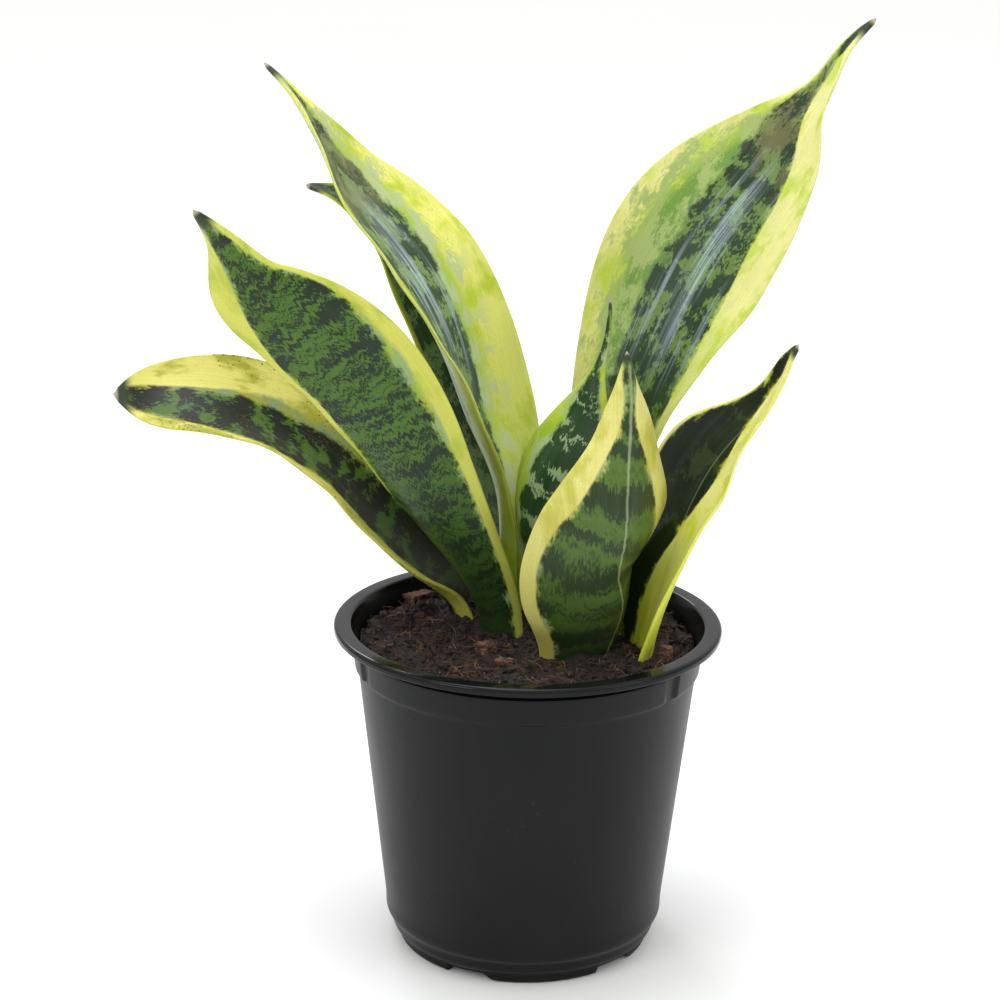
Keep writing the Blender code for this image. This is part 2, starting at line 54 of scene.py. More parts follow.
# ---- sizes taken from the frame ----
pot_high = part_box("nursery_pot")[1]
POT_HEIGHT = pot_high.z / MM
RIM_RADIUS = pot_high.x / MM

# ---- pot ----
RIM_WIDTH = 4.4              # flat top of the rim, measured inwards
RIM_LIP = 2.3                # how far the rim turns down
TOP_RADIUS = RIM_RADIUS - 5.6
LOW_RADIUS = TOP_RADIUS - 8.9
FOOT_RADIUS = LOW_RADIUS - 4.2
CORNER_HEIGHT = 14.5
WALL = 1.0
BAND_HEIGHT = 7.6            # stacking band under the rim
BAND_PROUD = 0.85
BAND_DROP = 2.6              # from the rim down to the band
BAND_COUNT = 3
BAND_HALF_ANGLE = 57.0
BAND_CENTRE = -96.5
NOTCH_COUNT = 5
NOTCH_HEIGHT = 2.3
NOTCH_HALF_ANGLE = 9.0
NOTCH_RAMP = 5.0
NOTCH_CENTRE = -117.0
NOTCH_INNER_RADIUS = 15.0
DRAIN_RADIUS = 3.5
DRAIN_RING = 25.0
DRAIN_STEPS = 48
FLOOR_MIDDLE = 22.0
POT_STEPS = 360              # one vertical edge a degree

# ---- soil and plant ----
SOIL_LEVEL = POT_HEIGHT - 4.0
SOIL_RELIEF = 0.9
SOIL_STEPS = 240
SOIL_RINGS = 92              # from the pot to the middle, about half a millimetre apart
CLEARANCE = 0.5
CROWN_DEPTH = 12.0
LEAF_THICKNESS = 2.8
LEAF_TIP_THICKNESS = 1.5
TIP_STRETCH = 1.4            # last stretch of a leaf, over which its tip narrows to a point
LEAF_EDGE = 0.45
LEAF_RINGS = 190
LEAF_COLUMNS = 57
GROOVE_PITCH = 2.6           # soft lengthwise ribs in the blade
GROOVE_DEPTH = 0.03
FADE_LOW = 25.0              # stretches over which the ribs and the ripple fade out
FADE_TIP = 20.0
FACE_STEP = 9.0              # gap between the leaves' places in the noise, so that no two look the same
FACE_OFFSET = 2.0            # and between a leaf's two faces and its edge

# Each leaf grows from base to tip through its stations: x, y and height above the soil of the middle
# of the blade, half the width from margin to margin, roll about the midrib, and how far each half
# curls up. The azimuth is the side that the back of the leaf faces, and the keel is the midrib's fold.
LEAVES = {
    "leaf_low_left": (180, 0.0, (
        (-11.5, 22.7, -11, 10, -10, 75), (-16, 24, 8, 13, -14, 64), (-27, 23, 19, 15.5, -22, 52),
        (-39, 21, 32, 16.5, -30, 42), (-50, 18, 46, 16.5, -31, 38), (-64, 14, 57, 17, -27, 34),
        (-77, 11, 63.5, 16.5, -27, 30), (-95, 7, 66, 13.5, -33, 25), (-108, 4, 66, 8, -34, 20),
        (-114, 2, 67, 0.6, -40, 10))),
    "leaf_broad_left": (250, 0.0, (
        (-5, 9, -11, 8, -38, 80), (-7.5, 8, 7, 8.5, -28, 66), (-18, 4, 28, 12.5, -12, 46),
        (-28.5, 0, 47, 14.5, 3, 36), (-38.5, -4, 66, 16, 17, 28), (-50, -8, 81, 16.5, 26, 25),
        (-64.5, -11, 92.5, 15, 26, 25), (-75, -13, 101, 11.5, 15, 30), (-81, -15, 112, 6, 0, 35),
        (-89, -17, 122, 0.6, 0, 30))),
    "leaf_tall_left": (150, 0.0, (
        (0, 15.5, -11, 8.5, 18, 75), (-0.5, 19, 13, 10, 16, 65), (-1.3, 24.3, 37, 13.5, 10, 54),
        (-6, 30, 56, 18.5, 8, 56), (-18, 38, 83, 20.5, 0, 38), (-32, 44, 103, 20, -5, 30),
        (-48, 50, 119, 16, 2, 32), (-56, 54, 128.5, 10.5, 8, 38), (-61, 56, 134, 6.5, 6, 42),
        (-67, 58, 140.5, 3, 5, 45), (-77, 62, 149, 0.6, 0, 30))),
    "leaf_rear_left": (120, 0.0, (
        (-1, 34, -11, 6, 0, 66), (-5.5, 39, 20, 7.5, 0, 50), (-17.5, 46, 58, 10, 0, 40),
        (-32, 51, 90, 10, 0, 35), (-44, 54, 107, 7.5, 0, 35), (-56, 56, 113.5, 4.5, 0, 40),
        (-65, 57, 115, 1.3, 0, 30))),
    "leaf_tall_right": (60, 0.0, (
        (15, 19, -11, 9.5, -30, 70), (18, 19.5, 15, 11, -28, 60), (22, 21, 51, 15.5, -15, 38),
        (32.5, 25.5, 82, 22.5, -3, 28), (41, 28.5, 99, 25, 5, 25), (51, 31, 114, 24, 8, 25),
        (65, 36, 131, 17.5, 0, 28), (72, 39, 140, 11.5, -12, 35), (80, 42, 149, 5.5, -25, 40),
        (85, 44, 157, 3, -25, 40), (94, 45, 166, 0.6, 0, 30))),
    "leaf_young_middle": (180, 0.0, (
        (8.5, 6, -11, 7, 30, 70), (6.8, 8, 15, 10, 35, 56), (5.6, 8, 34, 14, 40, 45),
        (12, 7, 55, 13, 35, 40), (17, 7, 65, 9, 30, 55), (19, 6, 74, 2.5, 20, 85),
        (21, 7, 83, 1.4, 0, 60), (21, 8, 94, 0.5, 0, 20))),
    "leaf_front": (-60, 0.22, (
        (10, -2, -11, 13, 26, 70), (11.5, -4, 2, 14.5, 25, 68), (12, -8, 17, 19, 20, 58),
        (13.5, -12.3, 28, 20.3, 7, 44), (19, -14, 39, 21, 2, 36), (22.5, -15, 48, 17.3, 0, 34),
        (24.5, -14, 59, 10.8, 0, 32), (25, -12, 70, 6, 0, 32), (25, -11, 77, 3, 5, 32),
        (25, -10, 84, 0.5, 5, 20))),
    "leaf_low_right": (-15, 0.12, (
        (26.5, -9, -11, 9.5, 25, 50), (28, -9, 3, 11.5, 30, 42), (32.5, -9, 21, 12.8, 38, 36),
        (39.5, -6, 41, 15.5, 44, 32), (48, -6, 56, 15, 42, 28), (57, -8, 65.5, 8.5, 32, 28),
        (62.5, -11, 73, 5.5, 30, 32), (67, -14, 83, 3, 30, 35), (70, -16, 88, 0.5, 30, 20))),
}

# How wide the yellow margins are. Each station is the share of the leaf's length from the base, the
# yellow on one margin and on the other, and how far in from each the paler green reaches.
MARGINS = {
    "leaf_low_left": (
        (0.0, 4, 5, 5, 6), (0.3, 6, 7, 6.5, 10), (0.6, 3, 9.5, 3.5, 14.5), (0.8, 2.5, 11, 3, 12.5),
        (0.94, 4, 5, 4.5, 6), (1.0, 0, 0, 0, 0)),
    "leaf_broad_left": (
        (0.0, 2.5, 1, 3, 1.5), (0.4, 3.5, 1, 4.5, 2), (0.62, 4.5, 2, 7, 2.5), (0.77, 1.5, 4.5, 2, 5),
        (0.84, 1.5, 8.5, 2, 9), (0.94, 1.5, 3, 2, 3.5), (1.0, 0, 0, 0, 0)),
    "leaf_tall_left": (
        (0.0, 9, 8, 10, 12), (0.2, 9, 11, 10, 15), (0.4, 5, 13, 5.5, 19), (0.6, 2, 11, 2.5, 17),
        (0.78, 1, 6, 1.5, 11), (0.92, 1.3, 2.2, 1.5, 3), (1.0, 0, 0, 0, 0)),
    "leaf_rear_left": ((0.0, 1.5, 1.5, 2, 2), (0.5, 1.5, 2, 2, 2.5), (1.0, 0.5, 1, 1, 1)),
    "leaf_tall_right": (
        (0.0, 3, 2, 5, 2.5), (0.36, 4, 3, 10.5, 3.5), (0.51, 5, 8, 16, 8.5), (0.65, 5, 11.5, 17, 12),
        (0.77, 3.5, 10.5, 9, 11), (0.86, 1, 9.5, 1.5, 10), (0.94, 0.6, 2.5, 1, 3), (1.0, 0, 0, 0, 0)),
    "leaf_young_middle": (
        (0.0, 2, 4, 2.5, 7), (0.4, 2, 7, 2.5, 10), (0.5, 2, 8.5, 2.5, 11), (0.73, 2, 8, 2.5, 9.5),
        (0.87, 0.3, 0.3, 0.4, 0.4), (1.0, 0, 0, 0, 0)),
    "leaf_front": (
        (0.0, 3, 3, 3.5, 3.5), (0.3, 3, 4, 3.5, 4.5), (0.46, 4, 4.5, 4.5, 5), (0.6, 8.5, 6.5, 9.5, 7),
        (0.73, 8.5, 5.5, 9, 6), (0.86, 5.5, 4, 6, 4.5), (0.95, 0.3, 0.5, 0.4, 0.6), (1.0, 0, 0, 0, 0)),
    "leaf_low_right": (
        (0.0, 1.5, 17, 2, 18), (0.35, 1, 17, 1.5, 17.5), (0.5, 1, 13, 1.5, 13.5), (0.7, 0.7, 10, 1, 10.5),
        (0.88, 0.3, 5.5, 0.5, 6), (1.0, 0, 0.5, 0, 0.5)),
}

# How far the front leaf's midrib lies off the middle of its blade, towards its right margin: share of the
# length, and millimetres.
FRONT_RIB = ((0.0, 0.0), (0.16, -1.5), (0.36, 4.5), (0.5, 1.5), (0.64, -2.0), (0.8, -1.0), (1.0, 0.0))


# ---- small tools ----
def spline(knots, values, at):
    """Natural cubic spline through values at the given knots, read at the places `at`."""
    count = len(knots)
    step = np.diff(knots)
    matrix = np.eye(count)
    right = np.zeros_like(values)
    for i in range(1, count - 1):
        matrix[i, i - 1:i + 2] = step[i - 1], 2 * (step[i - 1] + step[i]), step[i]
        right[i] = 6 * ((values[i + 1] - values[i]) / step[i] - (values[i] - values[i - 1]) / step[i - 1])
    bend = np.linalg.solve(matrix, right)
    k = np.clip(np.searchsorted(knots, at) - 1, 0, count - 2)
    h = step[k][:, None]
    a = (knots[k + 1] - at)[:, None] / h
    b = 1 - a
    curve = ((a ** 3 - a) * bend[k] + (b ** 3 - b) * bend[k + 1]) * h ** 2 / 6
    return a * values[k] + b * values[k + 1] + curve


def polar(reach, angle):
    """Place at a reach from the axis, in the direction of an angle in radians."""
    return reach * math.cos(angle), reach * math.sin(angle)


def circle(steps):
    """Angles of equal steps round the axis."""
    return [math.tau * k / steps for k in range(steps)]


def hex_colour(code):
    """Linear colour with full alpha from an sRGB hex code."""
    parts = [int(code[i:i + 2], 16) / 255 for i in (1, 3, 5)]
    return (*[c / 12.92 if c <= 0.04045 else ((c + 0.055) / 1.055) ** 2.4 for c in parts], 1.0)


def connect(node, inputs):
    """Give a node its inputs: each takes a number, a colour or another node's output."""
    for name, value in inputs.items():
        if isinstance(value, bpy.types.NodeSocket):
            node.id_data.links.new(value, node.inputs[name])
        else:
            node.inputs[name].default_value = value


def add_node(tree, kind, inputs, out=0, **settings):
    """Add a shader node with its links and settings, and return one of its outputs."""
    made = tree.nodes.new("ShaderNode" + kind)
    for name, value in settings.items():
        setattr(made, name, value)
    connect(made, inputs)
    return made.outputs[out]


X, Y, Z = 0, 1, 2                                # parts of a vector
SOFT = {"interpolation_type": "SMOOTHSTEP"}      # a range that eases in and out


def layered_noise(add, surface, layers, roughness=0.6):
    """Several noises on one surface, from each layer's waves along the three axes and its detail."""
    made = {}
    for label, (waves, detail) in layers.items():
        place = add("VectorMath", {0: surface, 1: waves}, operation="MULTIPLY")
        made[label] = add("TexNoise", {
            "Vector": place, "Scale": 1.0, "Detail": detail, "Roughness": roughness})
    return made


def layered_colour(add, lowest, layers, **settings):
    """Colours laid over each other, from where each layer shows and its colour. Codes are sRGB."""
    factor, below, above, mixed = 0, 6, 7, 2      # places of a colour Mix node's sockets
    colour = hex_colour(lowest) if isinstance(lowest, str) else lowest
    for where, layer in layers:
        layer = hex_colour(layer) if isinstance(layer, str) else layer
        inputs = {factor: where, below: colour, above: layer}
        colour = add("Mix", inputs, mixed, data_type="RGBA", **settings)
    return colour


def layered_relief(add, layers):
    """Bumps added to each other, from each one's height, its depth in metres and its strength."""
    below = {}
    for height, depth, strength in layers:
        relief = add("Bump", {"Height": height, "Distance": depth, "Strength": strength, **below})
        below = {"Normal": relief}
    return relief


def new_material(name):
    """Material, its Principled shader, and the function that adds nodes to it."""
    made = bpy.data.materials.new(name)
    made.use_nodes = True
    return made, made.node_tree.nodes["Principled BSDF"], functools.partial(add_node, made.node_tree)


def add_piece(name, points, faces, finish, replaces=None, smooth=60.0):
    """Mesh piece from points in millimetres that rides on the root body."""
    mesh = bpy.data.meshes.new(name)
    mesh.from_pydata((np.asarray(points) * MM).tolist(), [], faces)
    mesh.shade_smooth()
    mesh.set_sharp_from_angle(angle=math.radians(smooth))
    mesh.materials.append(finish)
    made = bpy.data.objects.new(name, mesh)
    bpy.context.scene.collection.objects.link(made)
    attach(made, "root")
    if replaces:
        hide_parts(replaces)
    return made


def store(mesh, name, values):
    """Three numbers for each point, for the material to read."""
    mesh.attributes.new(name, "FLOAT_VECTOR", "POINT").data.foreach_set(
        "vector", np.asarray(values, np.float32).ravel())


def tube_faces(rings, around):
    """Faces of a lofted skin of equal rings, closed at both ends."""
    faces = [(i * around + j, i * around + (j + 1) % around,
              (i + 1) * around + (j + 1) % around, (i + 1) * around + j)
             for i in range(rings - 1) for j in range(around)]
    faces.append(tuple(range(around))[::-1])
    faces.append(tuple((rings - 1) * around + j for j in range(around)))
    return faces


def turned_faces(rings, around):
    """Faces of a turned skin whose first and last points are single poles."""
    last = 1 + rings * around
    steps = [(j, (j + 1) % around) for j in range(around)]
    faces = [(0, 1 + after, 1 + j) for j, after in steps]
    for row in range(1, last - around, around):
        faces += [(row + j, row + after, row + around + after, row + around + j) for j, after in steps]
    return faces + [(last - around + j, last - around + after, last) for j, after in steps]


# ---- leaves ----
def leaf_blade(azimuth, keel, stations, margins, rib, seed):
    """Rings of points round a leaf, and for each point its place on the blade and in the leaf's zones."""
    table = np.array(stations, float)
    table[:, 2] += SOIL_LEVEL
    knots = np.concatenate(([0.0], np.cumsum(np.linalg.norm(np.diff(table[:, :3], axis=0), axis=1))))
    length = knots[-1]
    # The rings stand closer towards the tip, which narrows to a point over its last stretch.
    along = length * (1 - (1 - np.linspace(0, 1, LEAF_RINGS)) ** 1.2)
    middle = spline(knots, table[:, :3], along)
    half, roll, cup = spline(knots, table[:, 3:], along).T[:, :, None]
    point = np.sqrt(np.clip((length - along) / TIP_STRETCH, 0.004, 1.0))[:, None]
    half = np.maximum(half, 0.4) * point
    roll, cup = np.radians(roll), np.radians(np.maximum(cup, 4.0))
    ahead = spline(knots, table[:, :3], np.minimum(along + 0.5, length))
    behind = spline(knots, table[:, :3], np.maximum(along - 0.5, 0.0))
    rise = (ahead - behind) / np.linalg.norm(ahead - behind, axis=1)[:, None]
    facing = math.radians(azimuth)
    level = np.array([-math.sin(facing), math.cos(facing), 0.0])
    side = level - (rise @ level)[:, None] * rise
    side /= np.linalg.norm(side, axis=1)[:, None]
    side = np.cos(roll) * side + np.sin(roll) * np.cross(rise, side)
    inner = np.cross(rise, side)
    across = np.sin(np.linspace(-1, 1, LEAF_COLUMNS) * math.pi / 2)
    sine = np.sin(cup)
    out = np.sin(across * cup) / sine * half
    edge = half * cup / sine
    rib = np.array(rib, float)
    rib = spline(rib[:, 0], rib[:, 1:], along / length)
    fold = rib / edge
    tent = np.minimum((1 + across) / (1 + fold), (1 - across) / (1 - fold))
    slope = np.where(across < fold, 1 / (1 + fold), -1 / (1 - fold))
    sag = (np.cos(across * cup) - np.cos(cup)) / sine * half + keel * half * tent
    run = np.cos(across * cup) / sine * cup * half
    dip = -np.sin(across * cup) / sine * cup * half + keel * half * slope
    normal = run[..., None] * inner[:, None] + dip[..., None] * side[:, None]
    normal /= np.linalg.norm(normal, axis=2)[..., None]
    arc = across * edge

    # The margins ripple gently, and soft ribs run the length of the blade. Both fade towards its ends.
    fade = np.clip((along - CROWN_DEPTH) / FADE_LOW, 0, 1) * np.clip((length - along) / FADE_TIP, 0, 1)
    fade = fade[:, None]
    ripple = (0.35 * np.sin(along / 7.3 + seed) + 0.25 * np.sin(along / 3.9 + 2.1 * seed))[:, None]
    ripple = ripple * fade * np.abs(across) ** 5 * np.where(across > 0, 1.0, -0.8)
    ribs = GROOVE_DEPTH * np.sin(math.tau * arc / GROOVE_PITCH + 0.8 * np.sin(along / 31.0 + seed)[:, None])
    ribs = ribs * fade * (1 - np.abs(across) ** 6)
    blade = middle[:, None] + out[..., None] * side[:, None] - sag[..., None] * inner[:, None]
    blade = blade + normal * (ripple + ribs)[..., None]

    share = np.clip(1.6 * along / length, 0, 1)[:, None]
    thick = LEAF_THICKNESS + (LEAF_TIP_THICKNESS - LEAF_THICKNESS) * share
    thick = np.minimum(thick * (LEAF_EDGE + (1 - LEAF_EDGE) * (1 - np.abs(across) ** 2.2)), 1.2 * half) / 2
    round_share = np.clip(thick[:, :1] / edge, 0.01, 0.9)
    inset = np.clip((np.abs(across) - (1 - round_share)) / round_share, 0, 1)
    thick = thick * np.sqrt(1 - inset ** 2)
    front = blade + normal * thick[..., None]
    back = (blade - normal * thick[..., None])[:, -2:0:-1]
    rings = np.concatenate((front, back), axis=1)
    rings[0, :, 2] = SOIL_LEVEL - CROWN_DEPTH

    widths = np.array(margins, float)
    places = spline(widths[:, 0], widths[:, 1:], along / length)
    to_plus, to_minus = edge - arc, edge + arc
    yellow = np.maximum(places[:, 0:1] - to_plus, places[:, 1:2] - to_minus)
    pale = np.maximum(places[:, 2:3] - to_plus, places[:, 3:4] - to_minus)
    face = FACE_STEP * seed + np.where(np.abs(across) < 1, FACE_OFFSET, 0.0) * np.ones_like(arc)
    on_front = np.stack((arc - rib, along[:, None] * np.ones_like(arc), face), axis=2)
    on_back = on_front.copy()
    on_back[:, :, 2] = 2 * FACE_STEP * seed - face
    place = np.concatenate((on_front, on_back[:, -2:0:-1]), axis=1)
    zone = np.stack((yellow, pale, (along / length)[:, None] * np.ones_like(arc)), axis=2)
    zone = np.concatenate((zone, zone[:, -2:0:-1]), axis=1)
    return rings, place, zone


# Colours of each leaf: the dark ground and its patches, the pale green and its mottling next to the
# margins, the lemon and the greener yellow, and what the green and the yellow turn to near the soil.
TINTS = ("dark", "patch", "pale", "mottle", "yellow", "gold", "base", "low_yellow")
LEAF_TINTS = {
    "leaf_low_left": "#181c11 #46651f #7f9060 #8a9434 #d6cf6c #9f9f28 #181c12 #aaab42",
    "leaf_broad_left": "#1d2b1c #46691f #8ba36a #678a36 #c8ca58 #a3b438 #1f3018 #b8be52",
    "leaf_tall_left": "#263c1c #718b50 #a9b880 #90ad44 #dedc70 #b0c02c #35501f #8ba022",
    # The rear left leaf's greens are painted lighter, as fill light on a leaf that lies in shade.
    "leaf_rear_left": "#33502c #7d9a66 #8fa65c #7f9a4a #c2c94a #a0ae34 #3a5830 #a0ae34",
    "leaf_tall_right": "#1f3318 #5f7a38 #98aa62 #608a34 #dcd98c #b2c444 #24401a #b0ba44",
    "leaf_young_middle": "#183212 #84996c #9bb07a #86a830 #a9b938 #8fac2c #294d20 #7a9826",
    "leaf_front": "#2c3c1f #4f6a29 #8c9d6a #8c9d6a #d2cd78 #b6b34a #223319 #beb85c",
    # The low right leaf's yellow and its yellow near the soil are painted brighter, as light on a margin in
    # the front leaf's shadow.
    "leaf_low_right": "#141911 #2c3b1a #5f7238 #5f7238 #e4e08c #ccd24c #22330f #d2de36",
}

# The patches' size along and across in millimetres, how much they cover, how soft their edges are, how
# wide the dark zigzags are, and how strong the painted sheen (a bluish reflection of the lights), the brown
# specks, the olive scorch below the tip, the minty blotches in the yellow, the pale line of the midrib and
# the lighter, greyer green painted on the outer face as fill light on its shaded side are.
MARKS = ("patch_along", "patch_across", "cover", "soft", "zigzag", "sheen", "specks", "olive", "mint",
         "midrib", "outer")
LEAF_MARKS = {
    "leaf_low_left": (6.5, 11.0, 0.47, 0.04, -0.08, 0.08, 1.0, 0.0, 0.0, 0.0, 0.0),
    "leaf_broad_left": (5.5, 20.0, 0.56, 0.03, 0.034, 0.03, 0.15, 0.0, 0.0, 0.0, 0.0),
    "leaf_tall_left": (10.0, 8.0, 0.49, 0.05, -0.01, 1.0, 0.1, 0.8, 0.8, 0.0, 0.5),
    "leaf_rear_left": (8.0, 9.0, 0.52, 0.04, 0.01, 0.1, 0.1, 0.0, 0.0, 0.0, 0.0),
    "leaf_tall_right": (7.5, 6.5, 0.49, 0.05, -0.005, 0.9, 0.4, 0.8, 0.25, 0.0, 0.0),
    "leaf_young_middle": (4.5, 16.0, 0.43, 0.03, -0.01, 0.05, 0.05, 0.0, 0.7, 0.0, 0.0),
    "leaf_front": (6.5, 34.0, 0.5, 0.1, -0.01, 0.03, 0.2, 0.0, 0.0, 0.4, 0.0),
    "leaf_low_right": (9.0, 12.0, 0.42, 0.04, -0.03, 0.03, 0.1, 0.0, 0.0, 0.2, 0.0),
}

# Noises on the blade: waves a millimetre across and along, and their detail. The seed and the face tell
# the leaves and their two sides apart, so the third wave is always one.
BLADE_NOISE = {
    "jag": ((0.32, 0.07, 1), 3.0),        # how far each group of cell files is shifted along
    "files": ((1.5, 0.06, 1), 2.0),       # and each file by itself
    "flecks": ((1.5, 0.7, 1), 2.5),       # single short strokes
    "streaks": ((0.30, 0.012, 1), 2.0),   # long soft streaks
    "hairs": ((3.2, 0.03, 1), 2.0),       # single files of cells, drawn about twice as wide as they are
    "cloud": ((0.09, 0.045, 1), 3.0),     # slow change of tone
    "grain": ((2.6, 2.2, 1), 2.0),        # the skin's fine grain
}
# Reach of the painted sheen, a bluish reflection of the lights on the middle of the blade.
SHEEN_REACH = (0.36, 0.50, 0.66, 0.80)    # share of the length: starts, is full, fades, ends
SCORCH_REACH = (0.68, 0.78, 0.86, 0.94)
RIB_COLOUR = "#b3bd8c"
# Colour of the painted sheen: the bluish reflection of the lights.
SHEEN_COLOUR = "#b4c6d2"
SCORCH_COLOUR = "#757348"
# Lighter, greyer green painted on the outer face, as fill light on its shaded side.
OUTER_FILL_COLOUR = "#7f9c68"
SPECK_COLOUR = "#5a4420"
TIP_COLOUR = "#2f3a26"
DRY_COLOUR = "#a39a78"


def blade_noise(add, blade, look):
    """Noises on the blade. The patches and blotches are drawn after the files of cells have slid along
    each other, so that their edges break into lengthwise strokes."""
    wave = layered_noise(add, blade, BLADE_NOISE)
    slide = add("Math", {0: wave["jag"], 1: 9.0, 2: -6.5}, operation="MULTIPLY_ADD")
    slide = add("Math", {0: wave["files"], 1: 4.0, 2: slide}, operation="MULTIPLY_ADD")
    slide = add("CombineXYZ", {Y: slide})
    slid = add("VectorMath", {0: blade, 1: slide}, operation="ADD")
    across, along = 1 / look["patch_across"], 1 / look["patch_along"]
    return wave | layered_noise(add, slid, {
        "patches": ((across, along, 1), 4.0),
        "ridges": ((1.1 * across, 1.9 * along, 1), 3.0),
        "blotch": ((0.17, 0.11, 1), 4.0),
    })


def green_patches(add, wave, look):
    """Where the green patches lie. Thin dark zigzags cut them where a finer noise crosses its middle."""
    ragged = add("Math", {0: wave["flecks"], 1: 0.26, 2: wave["patches"]}, operation="MULTIPLY_ADD")
    above = add("Math", {0: ragged, 1: 1.13 - look["cover"]}, operation="SUBTRACT")
    ridge = add("Math", {0: wave["ridges"], 1: 0.5}, operation="SUBTRACT")
    ridge = add("Math", {0: ridge}, operation="ABSOLUTE")
    ridge = add("Math", {0: wave["flecks"], 1: 0.13, 2: ridge}, operation="MULTIPLY_ADD")
    ridge = add("Math", {0: ridge, 1: 0.065 + look["zigzag"]}, operation="SUBTRACT")
    above = add("Math", {0: above, 1: ridge}, operation="MINIMUM")
    return add("MapRange", {0: above, 1: -0.5 * look["soft"], 2: 0.6 * look["soft"]}, **SOFT)


def within_reach(add, strength, share, reach):
    """A strength that fades in and out along the leaf."""
    start, full, fading, end = reach
    for near_end, far_end, before, after in ((start, full, 0.0, 1.0), (fading, end, 1.0, 0.0)):
        step = add("MapRange", {0: share, 1: near_end, 2: far_end, 3: before, 4: after}, **SOFT)
        strength = add("Math", {0: strength, 1: step}, operation="MULTIPLY")
    return strength


def painted_sheen(add, wave, share, look):
    """Where the painted sheen lies: a bluish reflection of the lights, drawn as soft streaks of fine
    lengthwise lines on the middle of the blade.
    """
    sheen = add("MapRange", {0: wave["streaks"], 1: 0.46, 2: 0.66, 4: 0.75 * look["sheen"]}, **SOFT)
    lines = add("MapRange", {0: wave["hairs"], 1: 0.36, 2: 0.62, 3: 0.12, 4: 1.0})
    sheen = add("Math", {0: sheen, 1: lines}, operation="MULTIPLY")
    return within_reach(add, sheen, share, SHEEN_REACH)


def olive_scorch(add, wave, share, look):
    """Where the blade is scorched olive-brown below its tip."""
    flecked = add("Math", {0: wave["flecks"], 1: 0.45, 2: wave["cloud"]}, operation="MULTIPLY_ADD")
    flecked = add("Math", {0: flecked, 1: 0.2}, operation="SUBTRACT")
    scorch = add("MapRange", {0: flecked, 1: 0.44, 2: 0.54, 4: 0.75 * look["olive"]}, **SOFT)
    return within_reach(add, scorch, share, SCORCH_REACH)


def pale_green(add, wave, mottled, yellow_in, pale_in, look):
    """Where the paler green towards the margins lies, and its colour: soft green mottling that turns
    golden near the yellow."""
    ragged = add("Math", {0: wave["flecks"], 1: 2.5, 2: pale_in}, operation="MULTIPLY_ADD")
    ragged = add("Math", {0: wave["patches"], 1: 7.0, 2: ragged}, operation="MULTIPLY_ADD")
    is_pale = add("MapRange", {0: ragged, 1: 4.0, 2: 5.8}, **SOFT)
    near = add("MapRange", {0: yellow_in, 1: -6.0, 2: 0.0})
    blotch_colour = layered_colour(add, look["mottle"], ((near, look["gold"]),))
    is_blotch = add("MapRange", {0: mottled, 1: 0.60, 2: 0.71, 4: 0.9}, **SOFT)
    return is_pale, layered_colour(add, look["pale"], ((is_blotch, blotch_colour),))


def margin_colour(add, wave, mottled, yellow_in, share, look):
    """Yellow of the margins: clouded from lemon to a greener yellow, greener near the soil, and blotched
    with mint towards the green."""
    sun = add("Math", {0: wave["cloud"], 1: wave["blotch"]}, operation="ADD")
    sun = add("MapRange", {0: sun, 1: 0.92, 2: 1.22}, **SOFT)
    low = add("MapRange", {0: share, 1: 0.12, 2: 0.65, 3: 0.9, 4: 0.0})
    is_mint = add("MapRange", {0: mottled, 1: 0.645, 2: 0.585, 4: look["mint"]}, **SOFT)
    inner = add("MapRange", {0: yellow_in, 1: 1.0, 2: 7.0, 3: 1.0, 4: 0.15})
    is_mint = add("Math", {0: is_mint, 1: inner}, operation="MULTIPLY")
    return layered_colour(add, look["yellow"], (
        (sun, look["gold"]), (low, look["low_yellow"]), (is_mint, look["pale"])))


def margin_edge(add, mottled, yellow_in, pale_in):
    """Where the yellow lies. Its inner edge is clean where the dark green follows at once, and blotched
    and soft where a wide pale zone lies between."""
    width = add("Math", {0: pale_in, 1: yellow_in}, operation="SUBTRACT")
    softness = add("MapRange", {0: width, 1: 1.0, 2: 9.0, 3: 0.6, 4: 5.0})
    spread = add("MapRange", {0: width, 1: 1.0, 2: 9.0, 3: 1.0, 4: 6.0})
    edge = add("Math", {0: yellow_in, 1: softness}, operation="DIVIDE")
    edge = add("Math", {0: mottled, 1: spread, 2: edge}, operation="MULTIPLY_ADD")
    centre = add("Math", {0: spread, 1: 0.65}, operation="MULTIPLY")
    edge = add("Math", {0: edge, 1: centre}, operation="SUBTRACT")
    return add("MapRange", {0: edge, 1: -0.55, 2: 0.55}, **SOFT)


